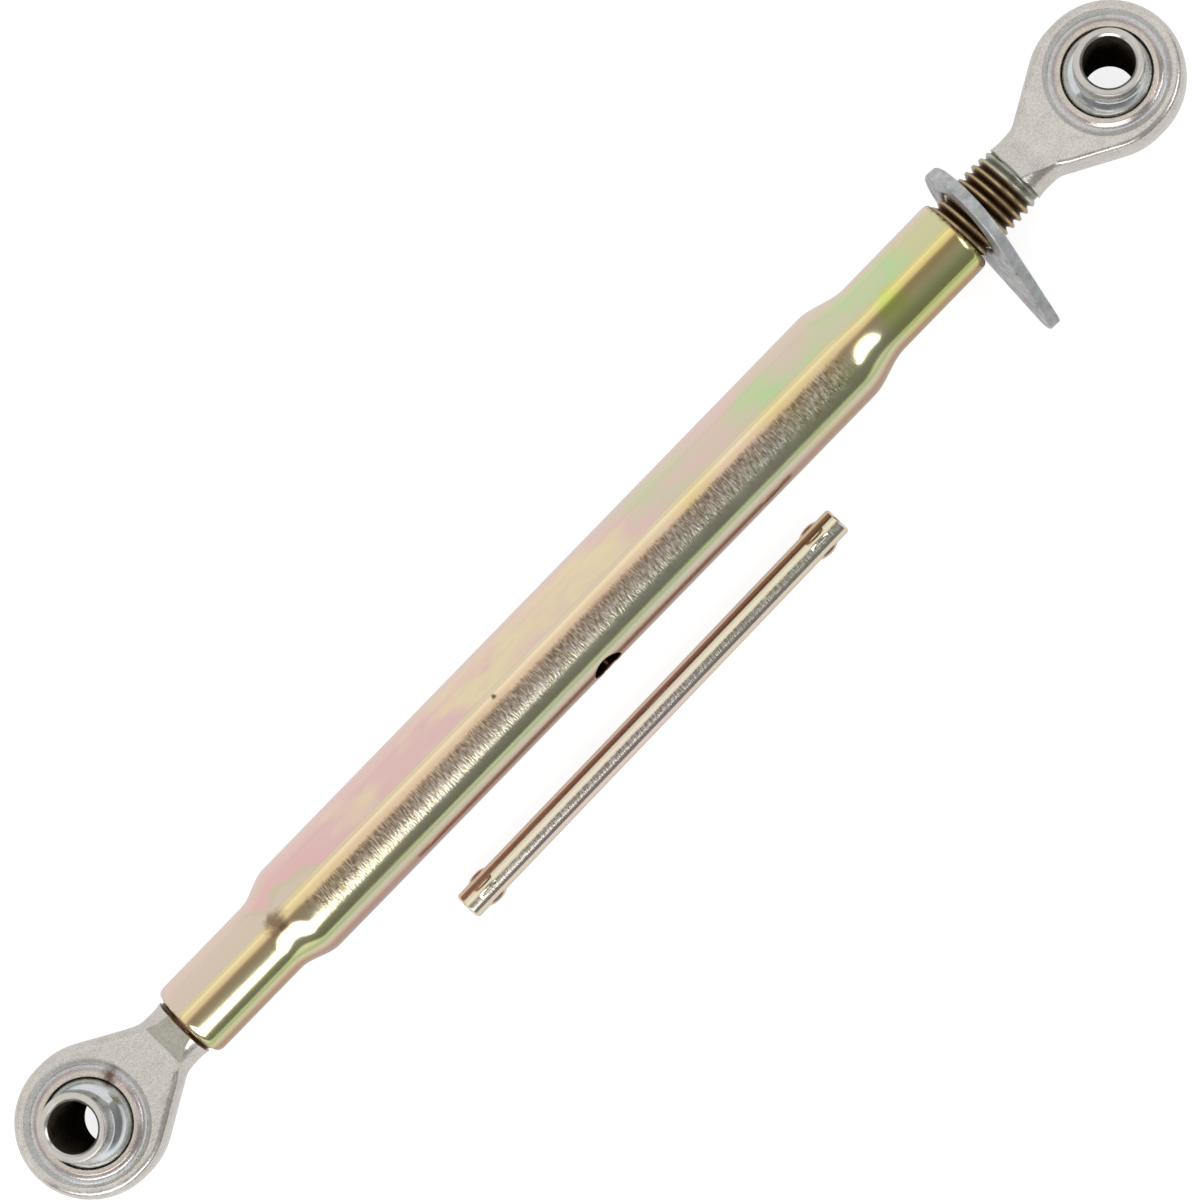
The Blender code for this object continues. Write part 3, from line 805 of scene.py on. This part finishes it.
# %% The square round the cross hole
def holed_square(radius, edge, side):
    """The square round the hole, on a tube of one radius: rings from the circle out to the square.

    The circle's point at angle t lies at (h cos t, asin(h sin t / r)) in distance along and angle round.
    """
    reach = HOLE_BLOCK * TURN / TUBE_SIDES
    run = np.linspace(-1, 1, 2 * HOLE_BLOCK + 1)
    ones = np.ones_like(run)
    square = np.concatenate(
        [
            np.stack([ones, run], -1)[:-1],
            np.stack([-run, ones], -1)[:-1],
            np.stack([-ones, -run], -1)[:-1],
            np.stack([run, -ones], -1)[:-1],
        ]
    )
    t = np.arctan2(square[:, 1], square[:, 0])
    rings = []
    for bend in np.linspace(0, math.pi / 2, 5) if edge else [math.pi / 2]:
        hole = CROSS_HOLE + edge * (1 - math.cos(bend))
        depth = radius - edge * (1 - math.sin(bend))
        rings.append(tube_point(hole * np.cos(t), np.arcsin(hole * np.sin(t) / depth), depth))
    hole = CROSS_HOLE + edge
    inner = np.stack([hole * np.cos(t), np.arcsin(hole * np.sin(t) / radius)], -1)
    outer = square * [HOLE_REACH, reach]
    for share in np.linspace(0, 1, 9)[1:]:
        place = inner * (1 - share) + outer * share
        rings.append(tube_point(place[:, 0], place[:, 1], radius))
    points = np.array(rings)
    if side:
        points = 2 * BARREL_MIDDLE * [0, 1, 1] + points * [1, -1, -1]
    return points


# %% The barrel's sheets
def barrel_sheets():
    """Outside, bore, the two holed squares of each, the cross hole's walls, and the bands between."""
    angles = np.arange(TUBE_SIDES) * TURN / TUBE_SIDES
    sheets = []
    for way in (-1, 1):
        outside, bore = barrel_half(way)
        profile = np.concatenate([bore[::-1], outside])
        skin = tube_point(*np.broadcast_arrays(profile[:, :1], angles, profile[:, 1:]))
        sheets.append((skin, False, True))
    steps = HOLE_REACH * np.linspace(-1, 1, 2 * HOLE_BLOCK + 1)
    span = np.arange(HOLE_BLOCK, TUBE_SIDES // 2 - HOLE_BLOCK + 1) * TURN / TUBE_SIDES
    for side in (0, 1):
        walls = []
        for radius, edge in ((BARREL_RADIUS, HOLE_EDGE), (TUBE_BORE, 0)):
            patch = holed_square(radius, edge, side)
            walls.append(patch[0])
            sheets.append((patch, False, True))
            band = tube_point(*np.broadcast_arrays(steps[:, None], span + side * math.pi, radius))
            sheets.append((band, False, False))
        rows = np.linspace(0, 1, 4)[:, None, None]
        sheets.append((walls[0] * (1 - rows) + walls[1] * rows, False, True))
    return sheets


# %% Barrel
BARREL_FIELD = [
    (0.03, (0.79, 0.65, 0.53)),
    (0.09, (0.72, 0.63, 0.46)),
    (0.15, (0.87, 0.56, 0.54)),
    (0.30, (0.85, 0.59, 0.56)),
    (0.44, (0.90, 0.77, 0.50)),
    (0.60, (0.85, 0.62, 0.56)),
    (0.74, (0.73, 0.69, 0.49)),
    (0.86, (0.59, 0.77, 0.40)),
    (0.97, (0.72, 0.70, 0.41)),
]
BARREL_BANDS_AND_SHADE = [
    (-14, (0.70, 0.60, 0.50)),
    (-10, (0.84, 0.72, 0.52)),
    (-8, (0.74, 0.60, 0.42)),
    (-6, (0.88, 0.76, 0.52)),
    (-1, (0.78, 0.60, 0.40)),
    (6, (0.84, 0.62, 0.44)),
    (18, (0.85, 0.74, 0.60)),
    (30, (0.80, 0.80, 0.62)),
    (40, (0.80, 0.76, 0.54)),
    (47, (0.60, 0.66, 0.38)),
    (52, (0.46, 0.50, 0.30)),
    (56, (0.66, 0.64, 0.48)),
    (61, (0.67, 0.57, 0.44)),
    # Painted shade: these two dark brown stops, at the edge towards -Y, are the shadowed table mirrored in
    # the tube.
    (68, (0.50, 0.32, 0.25)),
    (80, (0.38, 0.23, 0.17)),
]
BARREL_TINT = [
    (0.0, (1.0, 1.0, 0.80)),
    (0.2, (1.0, 0.97, 0.94)),
    (0.62, (1.0, 1.0, 1.0)),
    (0.85, (0.97, 1.0, 0.62)),
]
BARREL_FILM = {"field": BARREL_FIELD, "bands": BARREL_BANDS_AND_SHADE, "tint": BARREL_TINT, "seam": -12}
PIT = BARREL_MIDDLE + [-37.0 * MM, 1.4 * MM, BARREL_RADIUS]
# Painted reflection: a dark smudge on the lower shoulder, where the curved slope mirrors something dark.
PAINTED_DARK_REFLECTION = BARREL_MIDDLE + [-152.5 * MM, 0.8 * MM, 18.1 * MM]
OLIVE = BARREL_MIDDLE + [168.0 * MM, -2.4 * MM, 15.6 * MM]
barrel_finish = yellow_zinc(
    "barrel_yellow_zinc",
    BARREL_MIDDLE,
    ALONG,
    BARREL_HALF,
    BARREL_FILM,
    smooth_from=BARREL_HALF - 62 * MM,
    grain_size=0.9 * MM,
    spots=[
        (PIT, 1.2 * MM, (0.10, 0.07, 0.04), 1.0),
        (PAINTED_DARK_REFLECTION, 6.0 * MM, (0.20, 0.12, 0.08), 0.9),
        (OLIVE, 9.0 * MM, (0.62, 0.76, 0.16), 0.8),
    ],
    rust=[(BARREL_HALF, 2.2 * MM, 1.0), (-BARREL_HALF, 1.2 * MM, 0.5)],
)
make_piece("barrel_tube", barrel_sheets(), "barrel", "barrel", barrel_finish)

# %% [markdown]
# ## The forged ends
#
# One drop forging is an eye, a neck and a long screw. It could be boxes and cylinders joined by
# Booleans, but a forging has no hard joints. Here an outline is drawn once from the neck round the
# eye, and a side profile is carried along it, steep and slightly bulged at the eye and a true circle
# at the neck. Flat sheets fill the face between the outline and the pressed dish, the lathe makes the
# dish, the lips and the seat of the ball, and the screw is one sheet whose rows climb like the thread.

# %% The outline of a forging
EYE_RADIUS = 28.4 * MM
EYE_STRETCH = 2.5 * MM
UPPER_ROLL = math.radians(8)
FLANK_TURN = math.radians(60)
FACE = 8.3 * MM
NECK_RADIUS = 12.1 * MM
NECK_FLARE = 0.5 * MM
SIDE_WIDTH = 3.3 * MM
SIDE_POWER = 2 / 2.6
ROUND_FROM = 33.0 * MM
ROUND_TO = 40.0 * MM
RAMP_SLOPE = math.tan(math.radians(18.4))
DISH_EDGE = 24.6 * MM
SIDE_ROWS = 9
FACE_COLUMNS = 22


def neck_width(along):
    """Half the width of the neck and the straight flank, with an easy curve where they meet."""
    flare = NECK_FLARE * np.clip((along - (NECK_END - 5 * MM)) / (5 * MM), 0, 1) ** 2
    touch = EYE_RADIUS + EYE_STRETCH * math.cos(FLANK_TURN)
    flank = (touch - along * math.cos(FLANK_TURN)) / math.sin(FLANK_TURN)
    return larger(flank, NECK_RADIUS + flare, 1.3 * MM)


def half_outline():
    """From the neck's end round the eye to its far end, as (along, across), with the way out."""
    turn_in = EYE_STRETCH + EYE_RADIUS * math.cos(FLANK_TURN)
    neck = np.linspace(NECK_END, turn_in, 52)
    arc = np.linspace(FLANK_TURN, math.pi / 2, 10)[1:]
    back = np.linspace(math.pi / 2, math.pi, 40)
    line = np.concatenate(
        [
            np.stack([neck, neck_width(neck)], -1),
            np.stack([EYE_STRETCH + EYE_RADIUS * np.cos(arc), EYE_RADIUS * np.sin(arc)], -1),
            np.stack([EYE_RADIUS * np.cos(back), EYE_RADIUS * np.sin(back)], -1),
        ]
    )
    run = np.gradient(line, axis=0)
    way = np.stack([-run[:, 1], run[:, 0]], -1)
    way = -way / np.linalg.norm(way, axis=1)[:, None]
    way[-1] = (-1, 0)
    way[0] = (0, 1)
    line[-1, 1] = 0.0
    return line, way


def face_height(along):
    """The flat face, and the ramp that climbs from it to the round neck."""
    return larger(FACE, FACE + (along - RAMP_START) * RAMP_SLOPE, 0.15 * MM)


print("outline of a forging:", len(half_outline()[0]), "points on each side")

# %% The edge and the dish
def side_sheet(line, way):
    """The forged edge: a bulged wall at the eye that eases into a circle at the neck.

    Eye: inset = width * (1 - cos(t)^q), height = face * sin(t)^q. Neck: the circle of the neck's radius.
    """
    t = np.linspace(0, math.pi / 2, SIDE_ROWS)[:, None]
    height = face_height(line[:, 0])
    share = np.clip((line[:, 0] - ROUND_FROM) / (ROUND_TO - ROUND_FROM), 0, 1)
    share = share * share * (3 - 2 * share)
    radius = np.maximum(line[:, 1], height)
    top = np.arcsin(np.clip(height / radius, 0, 1))
    inset = SIDE_WIDTH * (1 - np.cos(t) ** SIDE_POWER) * (1 - share)
    inset = inset + radius * (1 - np.cos(top * t / t[-1])) * share
    rise = height * np.sin(t) ** SIDE_POWER * (1 - share) + radius * np.sin(top * t / t[-1]) * share
    plan = line - inset[..., None] * way
    upper = np.concatenate([plan, rise[..., None]], -1)
    lower = upper[:0:-1] * [1, 1, -1]
    return np.concatenate([lower, upper])


def dish_profile():
    """(height, out) from the face over the groove, the lip and the seat to the other face."""
    seat = 18.6 * MM
    lip = 7.4 * MM
    groove = [
        (DISH_EDGE, FACE, 0),
        (23.9 * MM, FACE, 0.5 * MM),
        (21.4 * MM, FACE - 2.3 * MM, 2.0 * MM),
        (19.0 * MM, FACE - 0.05 * MM, 0.8 * MM),
        (17.3 * MM, FACE, 0.25 * MM),
        (math.sqrt(seat**2 - lip**2), lip, 0),
    ]
    upper = rounded(groove, 8)[:, ::-1]
    height = lip * np.cos(np.linspace(0, math.pi, 14))[1:-1]
    middle = np.stack([height, np.sqrt(seat**2 - height**2)], -1)
    return np.concatenate([upper, middle, upper[::-1] * [-1, 1]])


print("dish and seat:", len(dish_profile()), "points from face to face")

# %% The screw
THREAD_PITCH = 3.6 * MM
ROWS_A_TURN = 8
SCREW_LENGTH = 140 * MM
RUNOUT_LENGTH = 8 * MM
FIRST_CREST = 12.7 * MM
FIRST_ROOT = 11.9 * MM
NECK_FOOT = 11.7 * MM
ROOT_FLAT = 0.10
FLANK = 0.66


def thread_sheet(angles, hand):
    """The screw: rows climb one pitch each turn, so crest and root stay crisp lines.

    along = pitch * (row / rows a turn + hand * angle / turn), and out = root + (crest - root) * tooth,
    where tooth is 0 on the root's flat, 1 on the crest's, and straight between.
    """
    rows = np.arange(-ROWS_A_TURN, int((SCREW_LENGTH / THREAD_PITCH + 1) * ROWS_A_TURN) + 2)
    climbed = rows[:, None] / ROWS_A_TURN
    share = angles / TURN * hand
    along = THREAD_PITCH * (climbed + share)
    wave = np.abs(2 * (climbed % 1) - 1)
    tooth = np.clip((wave - ROOT_FLAT) / FLANK, 0, 1)
    fade = np.clip(along / RUNOUT_LENGTH, 0, 1) ** 0.8
    crest = FIRST_CREST + (THREAD_OUT - FIRST_CREST) * fade
    root = FIRST_ROOT + (THREAD_OUT - THREAD_DEPTH - FIRST_ROOT) * fade
    out = root + (crest - root) * tooth
    neck = np.clip((along - 0.5 * MM) / (1.2 * MM), 0, 1)
    out = NECK_FOOT + (out - NECK_FOOT) * neck
    tip = THREAD_OUT - THREAD_DEPTH + np.clip(SCREW_LENGTH - along, 0, THREAD_DEPTH)
    out = np.minimum(out, tip)
    along = np.clip(along, 0, SCREW_LENGTH)
    points = np.stack([NECK_END + along, out * np.cos(angles), out * np.sin(angles)], -1)
    centre = points[-1:] * [1, 0, 0]
    return np.concatenate([points, centre])


print("screw:", round(SCREW_LENGTH / THREAD_PITCH, 1), "turns of", THREAD_PITCH, "m")


# %% The sheets of one end
def forging_sheets(eye, towards, hand, roll=0.0):
    """All the sheets of one end, in the model's own place. The outline is mirrored for the second side.

    The screw points towards +X or -X, and the roll about it leans the top face to +Y.
    """
    line, way = half_outline()
    side = side_sheet(line, way)
    other = side * [1, -1, 1]
    rim = side[-1]
    cut = int(np.argmin(np.abs(line[:, 0] - ROUND_FROM)))
    chord = np.linspace(rim[cut], rim[cut] * [1, -1, 1], FACE_COLUMNS)
    loop = np.concatenate([rim[cut:], (rim[cut:-1] * [1, -1, 1])[::-1], chord[1:-1][::-1]])
    angles = np.arctan2(loop[:, 1], loop[:, 0])
    ring = DISH_EDGE * np.stack([np.cos(angles), np.sin(angles)], -1)
    ring = np.concatenate([ring, np.full((len(ring), 1), FACE)], -1)
    share = np.linspace(0, 1, 7)[:, None, None]
    face = ring * (1 - share) + loop * share
    across = np.linspace(0, 1, FACE_COLUMNS)[:, None]
    strip = np.array([rim[k] * (1 - across) + rim[k] * [1, -1, 1] * across for k in range(cut + 1)])
    profile = dish_profile()
    height, out = profile[:, :1], profile[:, 1:]
    dish = np.stack([out * np.cos(angles), out * np.sin(angles), height + 0 * angles], -1)
    top = strip[0][1:-1]
    end = np.concatenate([side[:, 0], top, other[::-1, 0], top[::-1] * [1, 1, -1]])
    bearing = np.arctan2(end[:, 2], end[:, 1]) % TURN
    start = int(np.argmin(bearing))
    end, bearing = np.roll(end, -start, 0), np.roll(bearing, -start)
    screw = thread_sheet(np.append(bearing, bearing[0] + TURN), hand)
    shoulder = np.array([end, screw[0][:-1]])
    flip = [1, 1, -1]
    sheets = [
        (side, False, False),
        (other, False, False),
        (face, False, True),
        (face * flip, False, True),
        (strip, False, False),
        (strip * flip, False, False),
        (dish, False, True),
        (shoulder, False, True),
        (screw, False, False),
    ]
    face_way = np.array([0, math.sin(roll), math.cos(roll)])
    turn = np.array([ALONG * towards, np.cross(face_way, ALONG * towards), face_way])
    return [(eye + points @ turn, rows, columns) for points, rows, columns in sheets]


# %% The two ends
LIP_STAIN = LOWER_EYE + [18.4 * MM, 6.5 * MM, FACE]
LIP_DIRT = (0.16, 0.09, 0.07)
lower_finish = forging_zinc(
    "lower_clear_zinc",
    LOWER_EYE,
    1,
    ramp_shade=(0.66, 0.67, 0.62),
    clean=-5 * MM,
    spots=[(LIP_STAIN, 4.0 * MM, LIP_DIRT, 1.0)],
)
upper_finish = forging_zinc(
    "upper_clear_zinc", UPPER_EYE, -1, ramp_shade=(0.98, 0.98, 1.0), clean=6 * MM, roll=UPPER_ROLL
)
lower_sheets = forging_sheets(LOWER_EYE, 1, -1)
upper_sheets = forging_sheets(UPPER_EYE, -1, 1, UPPER_ROLL)
for side, sheets, finish in (("lower", lower_sheets, lower_finish), ("upper", upper_sheets, upper_finish)):
    make_piece(side + "_forging", sheets, side + "_end", side + "_end", finish, sharp=38)

# %% [markdown]
# ## The balls
#
# Each ball has a collar on both sides that reaches past the eye, so that the bracket clamps the
# collars and the ball stays free. The outside is the larger of the ball's circle and the collar's
# straight side, with a small fillet where they meet, and the lathe turns it about the bore.

# %% Balls
BALL_RADIUS = 18.3 * MM
COLLAR_RADIUS = 13.0 * MM
COLLAR_FOOT = 17.0 * MM
MOUTH_CHAMFER = 1.1 * MM
FILLET_EASE = 0.5 * MM
FILLET_RISE = 0.006 * MM


def ball_profile():
    """(along, out) round one ball: bore, mouth, end face, collar, fillet, ball, and back.

    The ball's side is out = root(radius^2 - along^2), and the fillet is the eased larger of that and
    the collar. The easing lifts the ball by a hair, which is taken off again.
    """
    mouth = rounded(
        [
            (0, BORE_RADIUS, 0),
            (BALL_HALF - MOUTH_CHAMFER, BORE_RADIUS, 0.3 * MM),
            (BALL_HALF, BORE_RADIUS + MOUTH_CHAMFER, 0.3 * MM),
            (BALL_HALF, COLLAR_RADIUS, 0.7 * MM),
            (COLLAR_FOOT, COLLAR_RADIUS, 0),
        ],
        5,
    )
    along = np.linspace(COLLAR_FOOT, 0, 40)[1:]
    ball = np.sqrt(np.clip(BALL_RADIUS**2 - along**2, 0, None))
    out = larger(ball, COLLAR_RADIUS, FILLET_EASE) - FILLET_RISE
    half = np.concatenate([mouth, row(along, np.minimum(out, BALL_RADIUS))])
    return np.concatenate([half, half[-2:0:-1] * [-1, 1]])


for place, way, side in ((LOWER_EYE, LOWER_BORE, "lower"), (UPPER_EYE, UPPER_BORE, "upper")):
    bore = way / np.linalg.norm(way)
    finish = ball_zinc(side + "_bright_zinc", place, bore)
    sheet = turned(ball_profile(), place, bore, sides=120)
    make_piece(side + "_swivel_ball", [sheet], side + "_ball", side + "_ball", finish)

# %% [markdown]
# ## The lock lever
#
# A plate nut with a tail. Its outline is two circles and the tangents between them, and its tail hangs
# until it touches the table. It is loose, so it leans on the screw: the photograph shows the face on
# the barrel's side. Each point of the outline is tied to a point of the bore, and a closed section
# goes round from bore to face to edge and back, so the whole plate is one sheet, like a ring.

# %% Lock lever
LEVER_HUB = 23.1 * MM
LEVER_TIP = 6.0 * MM
LEVER_REACH = 46.0 * MM
LEVER_HALF = 2.4 * MM
LEVER_BORE = 14.3 * MM
LEVER_EDGE = 0.7 * MM
BORE_CHAMFER = 0.7 * MM
LEVER_LIFT = 0.3 * MM
LEVER_LEAN = math.radians(7)
LEVER_SWING = math.radians(-4)


def lever_turn():
    """The plate's normal, its tail's way and the third: a droop about X, a lean about Y, and a swing."""
    foot = LEVER_TIP + math.sin(LEVER_LEAN) * LEVER_HALF + LEVER_LIFT
    droop = math.asin((LEVER_MIDDLE[2] - foot) / math.cos(LEVER_LEAN) / LEVER_REACH)
    turn = Euler((droop, LEVER_LEAN, LEVER_SWING)).to_matrix()
    return [np.array(turn @ Vector(way)) for way in ((1, 0, 0), (0, -1, 0), (0, 0, -1))]


def lever_sheet():
    """The plate as (x, across, up) about the screw: section rows carried round the outline."""
    lift = math.asin((LEVER_HUB - LEVER_TIP) / LEVER_REACH)
    meet = math.pi / 2 - lift
    hub = np.linspace(meet, TURN - meet, 120)
    tip = np.linspace(-meet, meet, 40)
    flank = np.linspace(0, 1, 14)[1:-1, None]
    on_hub = LEVER_HUB * np.stack([np.cos(hub), np.sin(hub)], -1)
    on_tip = [LEVER_REACH, 0] + LEVER_TIP * np.stack([np.cos(tip), np.sin(tip)], -1)
    line = np.concatenate(
        [
            on_hub,
            on_hub[-1] * (1 - flank) + on_tip[0] * flank,
            on_tip,
            on_tip[-1] * (1 - flank) + on_hub[0] * flank,
        ]
    )
    run = np.roll(line, -1, 0) - np.roll(line, 1, 0)
    way = np.stack([run[:, 1], -run[:, 0]], -1)
    way = way / np.linalg.norm(way, axis=1)[:, None]
    bearing = line / np.linalg.norm(line, axis=1)[:, None]
    bore = LEVER_BORE * bearing
    eased_bore = (LEVER_BORE + BORE_CHAMFER) * bearing
    edge = line - LEVER_EDGE * way
    rows = [(bore, BORE_CHAMFER - LEVER_HALF), (bore, LEVER_HALF - BORE_CHAMFER)]
    rows += [(eased_bore * (1 - s) + edge * s, LEVER_HALF) for s in np.linspace(0, 1, 7)]
    for bend in np.linspace(0, math.pi / 2, 6)[1:]:
        height = LEVER_HALF - LEVER_EDGE * (1 - math.cos(bend))
        rows.append((edge + LEVER_EDGE * math.sin(bend) * way, height))
    rows += [(place, -depth) for place, depth in reversed(rows[2:])]
    plan = np.array([place for place, _ in rows])
    depth = np.array([depth for _, depth in rows])[:, None] + 0 * plan[..., 0]
    normal, tail, over = lever_turn()
    return LEVER_MIDDLE + depth[..., None] * normal + plan[..., :1] * tail + plan[..., 1:] * over


DOT = LEVER_MIDDLE + [-3.4 * MM, -26.6 * MM, 6.0 * MM]
OIL_MARK = LEVER_MIDDLE + [-3.9 * MM, -13.2 * MM, -14.0 * MM]
lever_finish = lever_zinc(
    "lever_dull_zinc",
    spots=[(DOT, 0.7 * MM, (0.08, 0.07, 0.07), 1.0), (OIL_MARK, 4.5 * MM, (0.30, 0.27, 0.31), 1.0)],
)
lever_ring = (lever_sheet(), True, True)
make_piece("lever_plate", [lever_ring], "lock_lever", "lock_lever", lever_finish)

# %% [markdown]
# ## The tommy bar
#
# A round bar with its ends chamfered. Near each end a chisel has raised four lugs, which stop the bar
# from sliding out of the barrel. The lugs are part of the same sheet: the distance from the axis is
# the bar's radius plus a short bump at each quarter turn.

# %% Tommy bar
BAR_HALF = 99.5 * MM
BAR_RADIUS = 5.7 * MM
BAR_CHAMFER = 0.8 * MM
BAR_SIDES = 144
BAR_SHIFT = -2.0 * MM
BAR_OFFSET = 42.0 * MM
BAR_SKEW = math.radians(0.55)
LUG_REACH = 6.8 * MM
LUG_INSET = 10.7 * MM
LUG_LENGTH = 4.3 * MM
LUG_WIDTH = 1.9 * MM
BAR_MIDDLE = np.array([BARREL_MIDDLE[0] + BAR_SHIFT, BARREL_MIDDLE[1] - BAR_OFFSET, LUG_REACH])
BAR_AXIS = np.array([math.cos(BAR_SKEW), math.sin(BAR_SKEW), 0.0])


def bar_sheet():
    """The bar's skin, as rows along it. A lug is added to the radius at each quarter turn.

    lug = height * (1 - (along / length)^2)^0.8 * (1 - (round / width)^2), above zero only.
    """
    near = BAR_HALF - LUG_INSET + LUG_LENGTH * np.linspace(-1.6, 1.6, 41)
    plain = np.linspace(0, near[0], 30)[:-1]
    tail = np.linspace(near[-1], BAR_HALF - BAR_CHAMFER, 6)[1:-1]
    half = np.concatenate([plain, near, tail])
    rims = rounded(
        [
            (half[-1], BAR_RADIUS, 0),
            (BAR_HALF - BAR_CHAMFER, BAR_RADIUS, 0.3 * MM),
            (BAR_HALF, BAR_RADIUS - BAR_CHAMFER, 0.3 * MM),
            (BAR_HALF, 0, 0),
        ],
        4,
    )[1:]
    along = np.concatenate([half, rims[:, 0]])
    out = np.concatenate([np.full_like(half, BAR_RADIUS), rims[:, 1]])
    along = np.concatenate([-along[:0:-1], along])
    out = np.concatenate([out[:0:-1], out])
    angles = np.arange(BAR_SIDES) * TURN / BAR_SIDES
    quarter = (angles + TURN / 8) % (TURN / 4) - TURN / 8
    wide = np.clip(1 - (quarter * BAR_RADIUS / LUG_WIDTH) ** 2, 0, None)
    long = np.clip(1 - ((np.abs(along) - BAR_HALF + LUG_INSET) / LUG_LENGTH) ** 2, 0, None)
    lug = (LUG_REACH - BAR_RADIUS) * long[:, None] ** 0.8 * wide
    out = out[:, None] + lug
    second = np.cross(BAR_AXIS, UP)
    ring = np.cos(angles)[:, None] * UP + np.sin(angles)[:, None] * second
    return BAR_MIDDLE + along[:, None, None] * BAR_AXIS + out[..., None] * ring


BAR_FIELD = [(0.0, (0.50, 0.30, 0.20)), (0.5, (0.56, 0.40, 0.22)), (1.0, (0.42, 0.30, 0.18))]
BAR_TINT = [(0.0, (1.0, 1.0, 0.92)), (0.5, (1.0, 0.97, 0.98)), (1.0, (0.97, 1.0, 0.90))]
BAR_BANDS = [
    (-64, (0.62, 0.42, 0.30)),
    (-52, (0.84, 0.68, 0.56)),
    (-26, (0.90, 0.72, 0.68)),
    (-13, (0.84, 0.80, 0.62)),
    (-4, (0.88, 0.76, 0.58)),
    (6, (0.82, 0.76, 0.68)),
    (34, (0.80, 0.77, 0.72)),
    (48, (0.84, 0.68, 0.65)),
    (62, (0.80, 0.72, 0.60)),
    (80, (0.66, 0.50, 0.42)),
]
BAR_FILM = {"field": BAR_FIELD, "bands": BAR_BANDS, "tint": BAR_TINT, "seam": -66}
bar_finish = yellow_zinc(
    "bar_yellow_zinc",
    BAR_MIDDLE,
    BAR_AXIS,
    BAR_HALF,
    BAR_FILM,
    smooth_from=BAR_HALF,
    grain_size=0.55 * MM,
)
bar_skin = (bar_sheet(), False, True)
make_piece("tommy_bar_rod", [bar_skin], "tommy_bar", "tommy_bar", bar_finish)

# %% [markdown]
# ## Finish
#
# The view transform is Standard, so that a colour shows as it is written.

# %% Colours as written
bpy.context.scene.view_settings.view_transform = "Standard"
